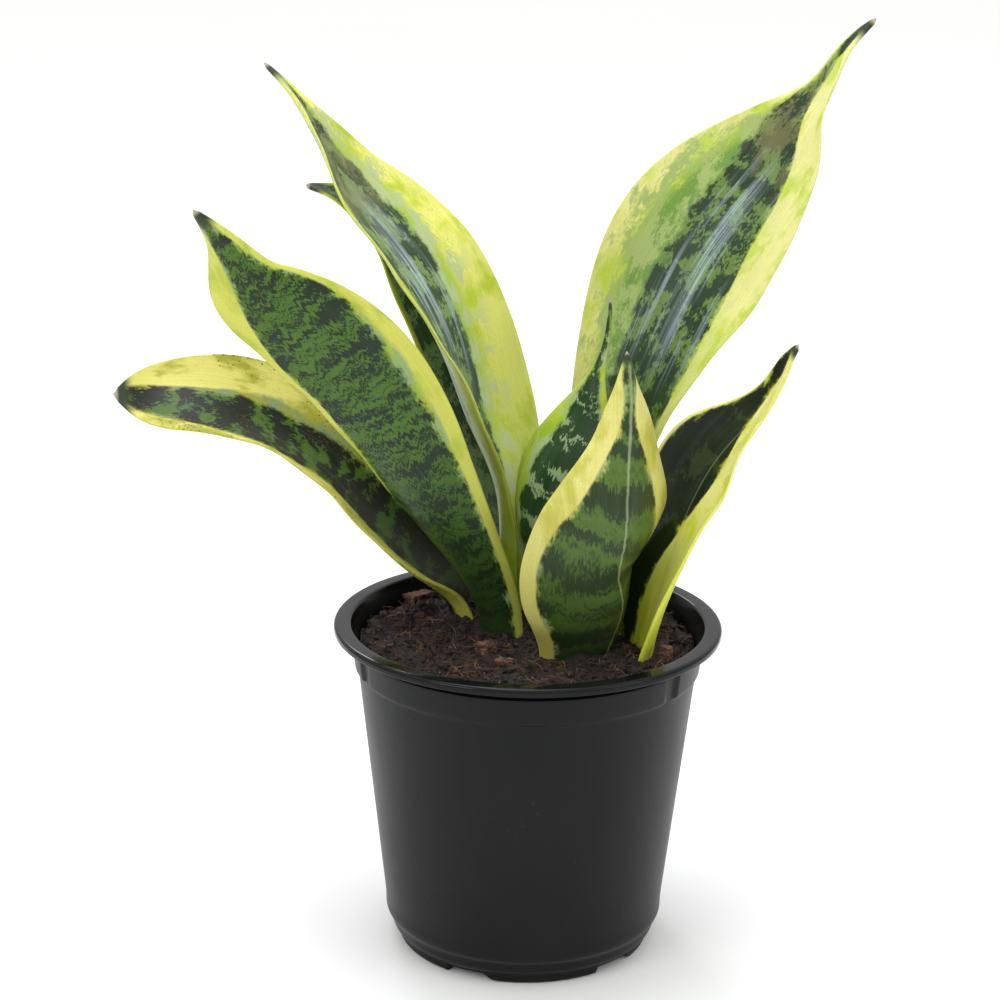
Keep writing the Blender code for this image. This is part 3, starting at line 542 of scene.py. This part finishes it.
def leaf_skin(name):
    """Living snake-plant leaf: smooth waxy skin over green and yellow cell layers.

    The cells grow in lengthwise files, so the patches' edges are broken into short lengthwise strokes,
    while the patches lie in bands across. The wax gives a soft gloss with fine lengthwise lines.
    """
    made, shader, add = new_material("waxy_" + name)
    look = dict(zip(TINTS + MARKS, (*LEAF_TINTS[name].split(), *LEAF_MARKS[name])))
    blade = add("Attribute", {}, "Vector", attribute_name="blade")
    zones = add("Attribute", {}, "Vector", attribute_name="zones")
    yellow_in, pale_in, share = (add("SeparateXYZ", {0: zones}, part) for part in (X, Y, Z))
    wave = blade_noise(add, blade, look)
    mottled = add("Math", {0: wave["flecks"], 1: 0.3, 2: wave["blotch"]}, operation="MULTIPLY_ADD")
    low = add("MapRange", {0: share, 1: 0.10, 2: 0.48, 3: 0.85, 4: 0.0})
    tone = add("MapRange", {0: wave["cloud"], 1: 0.36, 2: 0.64, 4: 0.5})
    is_pale, pale = pale_green(add, wave, mottled, yellow_in, pale_in, look)
    yellow = margin_colour(add, wave, mottled, yellow_in, share, look)

    # The midrib's pale line, about half a millimetre wide.
    off_rib = add("SeparateXYZ", {0: blade}, X)
    off_rib = add("Math", {0: off_rib}, operation="ABSOLUTE")
    is_rib = add("MapRange", {0: off_rib, 1: 0.12, 2: 0.42, 3: look["midrib"], 4: 0.0})

    # The outer face, whose third measure is just under a whole step, is painted a lighter, greyer green as
    # fill light on its shaded side.
    face = add("SeparateXYZ", {0: blade}, Z)
    face = add("Math", {0: face, 1: FACE_STEP}, operation="FLOORED_MODULO")
    is_outer = add("Math", {0: face, 1: FACE_STEP / 2}, operation="GREATER_THAN")
    is_outer = add("Math", {0: is_outer, 1: look["outer"]}, operation="MULTIPLY")

    # Small rust-brown specks, about a third of a millimetre, in loose groups.
    dots = add("TexVoronoi", {"Vector": blade, "Scale": 0.8, "Randomness": 1.0}, "Distance")
    groups = add("MapRange", {0: wave["cloud"], 1: 0.46, 2: 0.60, 4: 0.26 * look["specks"]})
    is_dot = add("Math", {0: dots, 1: groups}, operation="LESS_THAN")
    is_dot = add("Math", {0: is_dot, 1: 0.75}, operation="MULTIPLY")

    # The stiff tip is dark and dries to brown at its very point.
    tip = add("MapRange", {0: share, 1: 0.955, 2: 0.98}, **SOFT)
    dry = add("MapRange", {0: share, 1: 0.988, 2: 0.996}, **SOFT)

    # Each colour layer lies over the ones before it.
    colour = layered_colour(add, look["dark"], (
        (tone, look["base"]),
        (green_patches(add, wave, look), look["patch"]),
        (low, look["base"]),
        # Painted fill light: a lighter, greyer green on the shaded outer face.
        (is_outer, OUTER_FILL_COLOUR),
        (olive_scorch(add, wave, share, look), SCORCH_COLOUR),
        (is_rib, RIB_COLOUR),
        # Painted sheen: a bluish reflection of the lights, in streaks.
        (painted_sheen(add, wave, share, look), SHEEN_COLOUR),
        (is_pale, pale),
        (margin_edge(add, mottled, yellow_in, pale_in), yellow),
        (is_dot, SPECK_COLOUR),
        (tip, TIP_COLOUR),
        (dry, DRY_COLOUR)))

    # Cells differ a little in depth of colour, file by file and one by one.
    depth = add("Math", {0: wave["hairs"], 1: wave["grain"]}, operation="ADD")
    depth = add("MapRange", {0: depth, 1: 0.7, 2: 1.3, 3: 0.90, 4: 1.09})
    colour = layered_colour(add, colour, ((1.0, depth),), blend_type="MULTIPLY")

    gloss = add("MapRange", {0: wave["streaks"], 1: 0.3, 2: 0.7, 3: 0.30, 4: 0.44})
    relief = layered_relief(add, ((wave["hairs"], 0.00009, 0.5), (wave["grain"], 0.00006, 0.5)))
    connect(shader, {
        "Base Color": colour, "Roughness": gloss, "Normal": relief, "IOR": 1.45, "Specular IOR Level": 0.3})
    return made


def build_leaves():
    """Eight leaves with ribbed, gently rippled blades and rounded margins."""
    around = 2 * LEAF_COLUMNS - 2
    for seed, (name, (azimuth, keel, stations)) in enumerate(LEAVES.items(), 1):
        rib = FRONT_RIB if name == "leaf_front" else ((0.0, 0.0), (1.0, 0.0))
        rings, place, zone = leaf_blade(azimuth, keel, stations, MARGINS[name], rib, seed)
        piece = add_piece(name + "_blade", rings.reshape(-1, 3), tube_faces(LEAF_RINGS, around),
                          leaf_skin(name), name)
        store(piece.data, "blade", place)
        store(piece.data, "zones", zone)


# ---- pot ----
def arc_points(radius, height, size, start, end, steps=6):
    """Points on a quarter or half round, from one angle to another, in the pot's section."""
    return [(radius + size * math.cos(math.radians(a)), height + size * math.sin(math.radians(a)))
            for a in np.linspace(start, end, steps)]


def wall_radius(height):
    """Outside radius of the straight tapered wall at a height."""
    share = (height - CORNER_HEIGHT) / (POT_HEIGHT - RIM_LIP - CORNER_HEIGHT)
    return LOW_RADIUS + (TOP_RADIUS - LOW_RADIUS) * share


def pot_section():
    """Section of the pot as (radius, height, on the band), from underside to inner floor."""
    under_rim = POT_HEIGHT - RIM_LIP
    band_top = under_rim - BAND_DROP
    band_low = band_top - BAND_HEIGHT
    corner = LOW_RADIUS - FOOT_RADIUS
    # The two steps of the rounded foot, as shares of its width and height.
    turn = [(FOOT_RADIUS - 0.8, 0), (FOOT_RADIUS, 0.5)]
    turn += [(FOOT_RADIUS + share * corner, rise * CORNER_HEIGHT) for share, rise in (
        (0.10, 0.20), (0.36, 0.26), (0.66, 0.50), (0.80, 0.55), (0.95, 0.80))]
    turn = np.array(turn + [(LOW_RADIUS, CORNER_HEIGHT)])
    knots = np.concatenate(([0.0], np.cumsum(np.linalg.norm(np.diff(turn, axis=0), axis=1))))
    turn = spline(knots, turn, np.linspace(0, knots[-1], 34))
    outer = [(r, 0, 0) for r in (NOTCH_INNER_RADIUS - 1, NOTCH_INNER_RADIUS, FLOOR_MIDDLE, FOOT_RADIUS - 4)]
    outer += [(r, max(z, 0.0), 0) for r, z in turn]
    outer += [(wall_radius(z), z, 0) for z in np.linspace(CORNER_HEIGHT + 2, band_low - 1.2, 30)]
    outer += [(wall_radius(z), z, s) for z, s in (
        (band_low - 0.5, 0), (band_low - 0.2, 0.25), (band_low, 0.7), (band_low + 0.25, 0.95),
        (band_low + 0.6, 1))]
    outer += [(wall_radius(z), z, 1) for z in np.linspace(band_low + 1.5, band_top - 1.2, 5)]
    outer += [(wall_radius(z), z, s) for z, s in (
        (band_top - 0.6, 1), (band_top - 0.2, 0.9), (band_top, 0.6), (band_top + 0.2, 0.2),
        (band_top + 0.4, 0))]
    rim = [(TOP_RADIUS, under_rim - 0.6), (TOP_RADIUS + 0.1, under_rim + 0.3)]
    rim += arc_points(TOP_RADIUS + 1.2, POT_HEIGHT - WALL - 0.6, 0.6, 160, 90)
    rim += [(RIM_RADIUS - WALL - 0.5, POT_HEIGHT - WALL)]
    rim += arc_points(RIM_RADIUS - WALL - 0.4, POT_HEIGHT - WALL - 0.4, 0.4, 90, 0)
    rim += [(RIM_RADIUS - WALL, under_rim + 0.3)]
    rim += arc_points(RIM_RADIUS - WALL / 2, under_rim + 0.45, 0.45, 180, 360, 9)
    rim += arc_points(RIM_RADIUS - 1.1, POT_HEIGHT - 1.1, 1.1, 0, 90, 8)
    inner_edge = RIM_RADIUS - RIM_WIDTH
    rim += [(inner_edge + 1.6, POT_HEIGHT)]
    rim += arc_points(inner_edge + 0.3, POT_HEIGHT - 0.9, 0.9, 90, 170)
    inside = [(r, z, 0) for r, z in rim]
    inside += [(TOP_RADIUS - WALL, under_rim - 1.5, 0)]
    inside += [(r, z, 0) for r, z in zip(np.linspace(TOP_RADIUS - WALL, LOW_RADIUS - WALL, 12)[1:],
                                         np.linspace(under_rim - 1.5, CORNER_HEIGHT, 12)[1:])]
    inside += [(LOW_RADIUS - WALL - 0.5 * corner, 0.40 * CORNER_HEIGHT, 0), (FOOT_RADIUS - WALL, WALL, 0),
               (FLOOR_MIDDLE, WALL, 0), (NOTCH_INNER_RADIUS, WALL, 0), (NOTCH_INNER_RADIUS - 1.0, WALL, 0)]
    return outer, inside


def angle_off(angle, centre, count):
    """Signed angle from the nearest of `count` equally spaced directions."""
    pitch = 360.0 / count
    return (angle - centre + pitch / 2) % pitch - pitch / 2


def notch_lift(angle):
    """How far the underside is raised at an angle: flat channels, steep on one side, ramped on the other."""
    off = angle_off(angle, NOTCH_CENTRE, NOTCH_COUNT)
    steep = (off + NOTCH_HALF_ANGLE + 1.0) / 1.0
    ramp = (NOTCH_HALF_ANGLE + NOTCH_RAMP - off) / NOTCH_RAMP
    return NOTCH_HEIGHT * min(1.0, max(0.0, min(steep, ramp)))


def pot_skin():
    """Injection-moulded black polypropylene: satin, a faint orange peel, draw lines down the wall
    and pale specks of dust."""
    made, shader, add = new_material("black_moulded_polypropylene")
    spot = add("TexCoord", {}, "Object")
    wave = layered_noise(add, spot, {
        "peel": ((900, 900, 900), 2.0),          # a bit over a millimetre
        "draw": ((700, 700, 14), 3.0),           # lines down the wall
        "smudge": ((45, 45, 30), 5.0),
        "dust": ((2600, 2600, 2600), 2.0),
    }, 0.55)
    tone = add("MapRange", {0: wave["smudge"], 1: 0.35, 2: 0.7})
    grains = add("Math", {0: wave["smudge"], 1: 0.35, 2: wave["dust"]}, operation="MULTIPLY_ADD")
    is_dust = add("MapRange", {0: grains, 1: 0.93, 2: 0.97, 4: 0.4})
    colour = layered_colour(add, "#0a0b0b", ((tone, "#101111"), (is_dust, "#8a8378")))
    # The rim is handled and rubbed, so it is glossier than the wall.
    height = add("SeparateXYZ", {0: spot}, Z)
    at_rim = add("MapRange", {
        0: height, 1: (POT_HEIGHT - 3) * MM, 2: (POT_HEIGHT - 1) * MM, 3: 0.0, 4: -0.24})
    gloss = add("MapRange", {0: wave["smudge"], 1: 0.3, 2: 0.7, 3: 0.33, 4: 0.42})
    gloss = add("Math", {0: gloss, 1: at_rim}, operation="ADD")
    relief = layered_relief(add, ((wave["peel"], 0.00005, 0.35), (wave["draw"], 0.00004, 0.4)))
    connect(shader, {
        "Base Color": colour, "Roughness": gloss, "Normal": relief, "IOR": 1.49, "Specular IOR Level": 0.19})
    return made


def build_pot():
    """Thin moulded pot with a rolled rim, stacking bands, a notched foot and drainage holes."""
    outer, inside = pot_section()
    points = [(0, 0, 0)]
    for row, (radius, height, on_band) in enumerate(outer + inside):
        is_inside = row >= len(outer)
        is_floor = radius >= NOTCH_INNER_RADIUS and height < 0.5 * CORNER_HEIGHT
        for angle in range(POT_STEPS):
            off = abs(angle_off(angle, BAND_CENTRE, BAND_COUNT))
            proud = BAND_PROUD * on_band * min(1.0, max(0.0, (BAND_HALF_ANGLE + 1.0 - off) / 1.5))
            z = max(height, notch_lift(angle) + (WALL if is_inside else 0.0)) if is_floor else height
            points.append((*polar(radius + proud, math.radians(angle)), z))
    points.append((0, 0, WALL))
    faces = turned_faces(len(outer) + len(inside), POT_STEPS)
    pot = add_piece("nursery_pot_shell", points, faces, pot_skin(), "nursery_pot", smooth=35)
    for i in range(NOTCH_COUNT):
        x, y = polar(DRAIN_RING, math.radians(NOTCH_CENTRE + i * 360.0 / NOTCH_COUNT))
        mesh = bpy.data.meshes.new("drain_cutter")
        drill = bmesh.new()
        bmesh.ops.create_cone(
            drill, cap_ends=True, segments=DRAIN_STEPS, radius1=DRAIN_RADIUS * MM, radius2=DRAIN_RADIUS * MM,
            depth=20 * MM, matrix=Matrix.Translation((x * MM, y * MM, 0)))
        drill.to_mesh(mesh)
        drill.free()
        cutter = bpy.data.objects.new("drain_cutter_%d" % i, mesh)
        bpy.context.scene.collection.objects.link(cutter)
        cut = pot.modifiers.new("drain", "BOOLEAN")
        cut.object = cutter
        cut.solver = "EXACT"
        bpy.context.view_layer.update()
        cut_mesh = bpy.data.meshes.new_from_object(pot.evaluated_get(bpy.context.evaluated_depsgraph_get()))
        pot.modifiers.clear()
        pot.data = cut_mesh
        bpy.data.objects.remove(cutter)
    return pot


# ---- soil ----
def inner_radius(height):
    """Inside radius of the pot at a height above its corner."""
    straight = POT_HEIGHT - RIM_LIP - 1.5
    share = (height - CORNER_HEIGHT) / (straight - CORNER_HEIGHT)
    return LOW_RADIUS - WALL + (TOP_RADIUS - LOW_RADIUS) * share


def soil_height(x, y):
    """Mean soil surface: a little higher at the front and the left, low at the back."""
    rise = -0.022 * y - 0.010 * x
    lumps = math.sin(0.21 * x + 0.4) * math.cos(0.17 * y) + 0.6 * math.sin(0.37 * x - 0.29 * y)
    return SOIL_LEVEL + SOIL_RELIEF * (rise + 0.45 * lumps)


def rough_soil(x, y):
    """Soil surface with its clods and crumbs."""
    clods = noise.fractal(Vector((x / 7.0, y / 7.0, 3.1)), 0.9, 2.1, 3)
    crumbs = noise.fractal(Vector((x / 2.1, y / 2.1, 8.7)), 0.8, 2.2, 4)
    return soil_height(x, y) + 1.5 * clods + 0.9 * crumbs - 0.6


def earth_skin(name, darkest, brown, light):
    """Moist potting mix: dark peat crumbs with brown and tan bits of bark and fibre, matt and rough."""
    made, shader, add = new_material(name)
    spot = add("TexCoord", {}, "Object")
    wave = layered_noise(add, spot, {
        "clod": ((260, 260, 260), 4.0), "crumb": ((900, 900, 900), 5.0), "fibre": ((2400, 2400, 2400), 3.0)})
    by_clod = add("MapRange", {0: wave["clod"], 1: 0.38, 2: 0.66})
    by_crumb = add("MapRange", {0: wave["crumb"], 1: 0.50, 2: 0.68, 4: 0.8})
    colour = layered_colour(add, darkest, ((by_clod, brown), (by_crumb, light)))
    rough = add("MapRange", {0: wave["crumb"], 1: 0.3, 2: 0.7, 3: 0.72, 4: 0.95})
    relief = layered_relief(add, ((wave["crumb"], 0.0006, 0.8), (wave["fibre"], 0.00025, 0.7)))
    connect(shader, {"Base Color": colour, "Roughness": rough, "Normal": relief})
    return made


def build_soil():
    """Body of soil that fills the pot, with a clodded top."""
    top_radius = inner_radius(SOIL_LEVEL - 2.0) - CLEARANCE
    floor = NOTCH_HEIGHT + WALL + CLEARANCE
    corner = 0.40 * CORNER_HEIGHT
    corner_radius = LOW_RADIUS - WALL - 0.5 * (LOW_RADIUS - FOOT_RADIUS)
    lower = ((0.5 * FOOT_RADIUS, floor), (FOOT_RADIUS - WALL - CLEARANCE - 0.6, floor),
             (corner_radius - CLEARANCE, corner + 0.5), (LOW_RADIUS - WALL - CLEARANCE - 0.1, CORNER_HEIGHT),
             (top_radius - 0.4, SOIL_LEVEL - 6.0), (top_radius - 0.2, SOIL_LEVEL - 3.0))
    turns = circle(SOIL_STEPS)
    points = [(0, 0, floor)]
    for radius, z in lower:
        points += [(*polar(radius, a), z) for a in turns]
    shares = np.linspace(1.0, 0.01, SOIL_RINGS)
    for share in shares:
        for a in turns:
            x, y = polar(share * top_radius, a)
            points.append((x, y, rough_soil(x, y) - 1.6 * max(0.0, (share - 0.965) / 0.035)))
    points.append((0, 0, rough_soil(0, 0)))
    faces = turned_faces(len(lower) + SOIL_RINGS, SOIL_STEPS)
    add_piece("soil_bed", points, faces, earth_skin("moist_peat", "#0b0807", "#21160f", "#3c2a1e"),
              "potting_soil", smooth=180)


def leaf_feet():
    """Search tree of the leaf surface where the leaves come out of the soil."""
    feet = []
    for name in LEAVES:
        mesh = bpy.data.objects[name + "_blade"].data
        points = np.empty(len(mesh.vertices) * 3)
        mesh.vertices.foreach_get("co", points)
        points = points.reshape(-1, 3) / MM
        feet.append(points[np.abs(points[:, 2] - SOIL_LEVEL) < 5.0])
    feet = np.concatenate(feet)
    tree = kdtree.KDTree(len(feet))
    for i, point in enumerate(feet):
        tree.insert(Vector((point[0], point[1], 0.0)), i)
    tree.balance()
    return tree


def free_spot(random, feet, margin):
    """Random place on the soil that is clear of the leaves by a margin."""
    room = inner_radius(SOIL_LEVEL) - CLEARANCE - margin
    while True:
        reach, turn = room * math.sqrt(random.uniform()), random.uniform(0, math.tau)
        x, y = polar(reach, turn)
        if feet.find(Vector((x, y, 0.0)))[2] > margin:
            return x, y


def lump_template(fineness):
    """Points and faces of a round lump of unit size."""
    ball = bmesh.new()
    bmesh.ops.create_icosphere(ball, subdivisions=fineness, radius=1.0)
    points = np.array([v.co[:] for v in ball.verts])
    faces = [[v.index for v in face.verts] for face in ball.faces]
    ball.free()
    return points, faces


def random_turn(random):
    """Rotation matrix in a random direction."""
    axis = random.normal(size=3)
    return np.array(Matrix.Rotation(random.uniform(0, math.tau), 3, Vector(axis).normalized()))


def build_crumbs(feet):
    """Loose grains and crumbs of peat and flakes of bark lying on the soil."""
    grain = earth_skin("peat_grain", "#0b0807", "#2a1b12", "#503626")
    crumb = earth_skin("peat_crumb", "#090605", "#20160f", "#3b2a1e")
    flake = earth_skin("bark_flake", "#170e09", "#3d2519", "#6a4731")
    kinds = (    # name, count, size from and to, width, thickness, fineness, finish, slot
        ("peat_grains", 3200, (0.25, 0.75), (0.35, 0.9), (0.3, 0.8), 1, grain, "soil"),
        ("peat_crumbs", 420, (0.5, 1.6), (0.55, 1.0), (0.5, 1.0), 2, crumb, "soil"),
        ("bark_flakes", 230, (0.6, 2.2), (0.3, 0.8), (0.15, 0.4), 2, flake, "bark"),
    )
    for seed, (name, count, sizes, widths, flatness, fineness, finish, slot) in enumerate(kinds, 31):
        random = np.random.default_rng(seed)
        ball, ball_faces = lump_template(fineness)
        points, faces = [], []
        for i in range(count):
            size = sizes[0] + (sizes[1] - sizes[0]) * random.uniform() ** 2.2
            x, y = free_spot(random, feet, size + 0.3)
            swell = np.array([
                1 + 0.7 * noise.noise(Vector(p * 1.4) + Vector((9.0 * i, seed, 0.0))) for p in ball])
            stretch = np.array((1.0, random.uniform(*widths), random.uniform(*flatness)))
            shape = (ball * swell[:, None] * stretch * size) @ random_turn(random).T
            start = len(points) * len(ball)
            points.append(shape + (x, y, rough_soil(x, y) + 0.25 * size))
            faces += [[start + k for k in face] for face in ball_faces]
        add_piece(name, np.concatenate(points), faces, finish, smooth=30)


def fibre_skin():
    """Dry peat and root fibres: thin, tan to red-brown, matt."""
    made, shader, add = new_material("dry_root_fibre")
    spot = add("TexCoord", {}, "Object")
    tone = add("TexNoise", {"Vector": spot, "Scale": 150.0, "Detail": 3.0})
    tone = add("MapRange", {0: tone, 1: 0.35, 2: 0.65})
    colour = layered_colour(add, "#22130b", ((tone, "#8a6744"),))
    lines = add("TexNoise", {"Vector": spot, "Scale": 6000.0, "Detail": 2.0})
    relief = layered_relief(add, ((lines, 0.00005, 0.6),))
    connect(shader, {"Base Color": colour, "Normal": relief, "Roughness": 0.8})
    return made


FIBRE_COUNT = 330


def build_fibres(feet):
    """Thin fibres that lie in loose curls on the soil."""
    random = np.random.default_rng(47)
    rings, sides = 12, 5
    limit = inner_radius(SOIL_LEVEL) - 1.0
    points, faces = [], []
    for i in range(FIBRE_COUNT):
        x, y = free_spot(random, feet, 1.2)
        length, radius = random.uniform(2.0, 11.0), random.uniform(0.035, 0.10)
        heading, bend = random.uniform(0, math.tau), random.normal(0, 0.9)
        lift = random.uniform(0.2, 0.9)
        start = i * rings * sides
        for k in range(rings):
            share = k / (rings - 1)
            heading_now = heading + bend * share
            ahead = polar(length / rings, heading_now)
            x, y = x + ahead[X], y + ahead[Y]
            reach = math.hypot(x, y)
            if reach > limit:
                x, y = x * limit / reach, y * limit / reach
            z = rough_soil(x, y) + 0.25 + lift * math.sin(math.pi * share)
            side = np.array((-math.sin(heading_now), math.cos(heading_now), 0.0))
            for a in circle(sides):
                ring = math.cos(a) * side + math.sin(a) * np.array((0, 0, 1.0))
                points.append(np.array((x, y, z)) + radius * ring)
        faces += [tuple(start + k for k in face) for face in tube_faces(rings, sides)]
    add_piece("soil_fibres", points, faces, fibre_skin())


# Bark chips: share of the way out to the pot, direction from the middle, size along, across and up, turn.
BARK_CHIPS = {
    "bark_chip_flat": (0.985, 135, (10.0, 5.0, 3.0), 42),
    "bark_chip_pointed": (0.935, -27, (4.6, 3.6, 7.6), 63),
    "bark_chip_square": (0.46, -125, (5.4, 5.0, 5.0), 35),
    "bark_chip_small": (0.60, -103, (5.0, 4.2, 3.6), -15),
}
CHIP_SUNK = 0.4              # share of its height
CHIP_CUTS = 17               # in each edge, for its rough surface


def bark_skin():
    """Composted pine bark: red-brown layers with dark splits between them, matt."""
    made, shader, add = new_material("composted_pine_bark")
    spot = add("TexCoord", {}, "Object")
    wave = layered_noise(add, spot, {"layers": ((300, 300, 1900), 4.0), "blotch": ((420, 420, 420), 4.0)})
    tone = add("MapRange", {0: wave["layers"], 1: 0.38, 2: 0.62})
    pale = add("MapRange", {0: wave["blotch"], 1: 0.5, 2: 0.72, 4: 0.7})
    colour = layered_colour(add, "#22140d", ((tone, "#6d4733"), (pale, "#8c6650")))
    relief = layered_relief(add, ((wave["layers"], 0.0006, 0.8),))
    connect(shader, {"Base Color": colour, "Normal": relief, "Roughness": 0.82})
    return made


def build_chips():
    """Broken pieces of layered bark, half sunk in the soil."""
    finish = bark_skin()
    sides = ((0, 1, 3, 2), (4, 6, 7, 5), (0, 4, 5, 1), (2, 3, 7, 6), (0, 2, 6, 4), (1, 5, 7, 3))
    room = inner_radius(SOIL_LEVEL) - CLEARANCE
    for seed, (name, (share, direction, size, turn)) in enumerate(BARK_CHIPS.items(), 5):
        random = np.random.default_rng(seed)
        reach = share * (room - size[1] / 2)
        b = math.radians(turn)
        x, y = polar(reach, math.radians(direction))
        z = soil_height(x, y) + (0.5 - CHIP_SUNK) * size[2]
        corners = [[s * random.uniform(0.72, 1.0) * part / 2 for s, part in zip((sx, sy, sz), size)]
                   for sx in (-1, 1) for sy in (-1, 1) for sz in (-1, 1)]
        chip = bmesh.new()
        made = [chip.verts.new(corner) for corner in corners]
        for side in sides:
            chip.faces.new([made[k] for k in side])
        bmesh.ops.subdivide_edges(chip, edges=chip.edges, cuts=CHIP_CUTS, use_grid_fill=True)
        bmesh.ops.recalc_face_normals(chip, faces=chip.faces)
        chip.normal_update()
        moves = []
        for v in chip.verts:
            layer = noise.noise(Vector((v.co.x / 6, v.co.y / 6, v.co.z * 1.5 + seed)))
            knock = noise.fractal(v.co / 1.6 + Vector((seed, 0, 0)), 0.8, 2.1, 4)
            moves.append(v.normal * (0.45 * round(layer * 3) / 3 + 0.38 * knock - 0.1))
        for v, move in zip(chip.verts, moves):
            v.co += move
        points = [(x + v.co.x * math.cos(b) - v.co.y * math.sin(b),
                   y + v.co.x * math.sin(b) + v.co.y * math.cos(b), z + v.co.z) for v in chip.verts]
        faces = [[v.index for v in face.verts] for face in chip.faces]
        chip.free()
        add_piece(name + "_broken", points, faces, finish, name, smooth=35)


def rhizome_skin():
    """Fleshy creeping stem: orange-tan, faintly ringed, with a thin papery skin."""
    made, shader, add = new_material("rhizome_skin")
    spot = add("TexCoord", {}, "Object")
    tone = add("TexNoise", {"Vector": spot, "Scale": 220.0, "Detail": 5.0})
    tone = add("MapRange", {0: tone, 1: 0.35, 2: 0.65})
    colour = layered_colour(add, "#a4713a", ((tone, "#d9a562"),))
    rings = add("TexWave", {"Vector": spot, "Scale": 60.0, "Distortion": 3.0, "Detail": 2.0}, "Fac")
    relief = layered_relief(add, ((rings, 0.0004, 0.6),))
    connect(shader, {"Base Color": colour, "Normal": relief, "Roughness": 0.55})
    return made


# ---- studio ----
FLOOR_REACH = 12.0           # metres
FLOOR_STEPS = 96
CAMERA_TILT = 17.2           # looking down by this much
CAMERA_ROLL = 0.8
CAMERA_PLACE = (-0.0082, -0.7165, 0.3507)    # metres
CAMERA_LENS = 98.3           # on a sensor of SENSOR_WIDTH
SENSOR_WIDTH = 36.0
LIGHTS = {                   # place and side in metres, power in watts, colour
    "top_softbox": ((-0.10, 0.10, 1.00), 0.5, 3.2, (0.90, 0.95, 1.0)),
    "left_key": ((-0.80, -0.80, 0.75), 0.5, 2.6, (1.0, 0.98, 0.95)),
    "right_fill": ((0.95, -0.55, 0.60), 0.6, 1.5, (1.0, 0.99, 0.97)),
    "back_light": ((-0.35, 1.0, 0.85), 0.3, 2.4, (0.96, 0.98, 1.0)),
}
LIGHT_TARGET = (0.0, 0.0, 0.12)


def build_floor():
    """Plain pale floor, far wider than the view."""
    made, shader, add = new_material("pale_matt_floor")
    spot = add("TexCoord", {}, "Object")
    tone = add("TexNoise", {"Vector": spot, "Scale": 3.0, "Detail": 4.0})
    colour = layered_colour(add, "#f4f4f3", ((tone, "#f7f7f6"),))
    connect(shader, {"Base Color": colour, "Roughness": 0.85})
    rim = [(*polar(FLOOR_REACH, a), 0.0) for a in circle(FLOOR_STEPS)]
    mesh = bpy.data.meshes.new("floor")
    mesh.from_pydata(rim, [], [tuple(range(FLOOR_STEPS))])
    mesh.materials.append(made)
    floor = bpy.data.objects.new("floor", mesh)
    bpy.context.scene.collection.objects.link(floor)


def build_studio():
    """Bright even studio: square soft lights that point at the plant, and a white surround that darkens
    towards its horizon."""
    for name, (place, size, power, colour) in LIGHTS.items():
        data = bpy.data.lights.new(name, "AREA")
        data.shape = "SQUARE"
        data.size = size
        data.energy = power
        data.color = colour
        light = bpy.data.objects.new(name, data)
        light.location = place
        light.rotation_euler = (Vector(LIGHT_TARGET) - Vector(place)).to_track_quat("-Z", "Y").to_euler()
        bpy.context.scene.collection.objects.link(light)
    world = bpy.data.worlds.new("studio")
    world.use_nodes = True
    add = functools.partial(add_node, world.node_tree)
    way = add("TexCoord", {}, "Generated")
    height = add("SeparateXYZ", {0: way}, Z)
    strength = add("MapRange", {0: height, 1: 0.05, 2: 0.6, 3: 0.55, 4: 1.15})
    connect(world.node_tree.nodes["Background"], {"Color": (1.0, 1.0, 1.0, 1.0), "Strength": strength})
    bpy.context.scene.world = world
    bpy.context.scene.view_settings.view_transform = "Standard"


def build_camera():
    """Camera in front of the plant and a little above it."""
    data = bpy.data.cameras.new("camera")
    data.lens = CAMERA_LENS
    data.sensor_width = SENSOR_WIDTH
    camera = bpy.data.objects.new("camera", data)
    camera.matrix_world = (Matrix.Translation(CAMERA_PLACE)
                           @ Matrix.Rotation(math.radians(90 - CAMERA_TILT), 4, "X")
                           @ Matrix.Rotation(math.radians(CAMERA_ROLL), 4, "Z"))
    bpy.context.scene.collection.objects.link(camera)
    bpy.context.scene.camera = camera


build_camera()
build_studio()
build_floor()
build_pot()
build_leaves()
build_soil()
feet_tree = leaf_feet()
build_crumbs(feet_tree)
build_fibres(feet_tree)
build_chips()
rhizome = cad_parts["rhizome_and_roots"]
rhizome.data.materials.clear()
rhizome.data.materials.append(rhizome_skin())
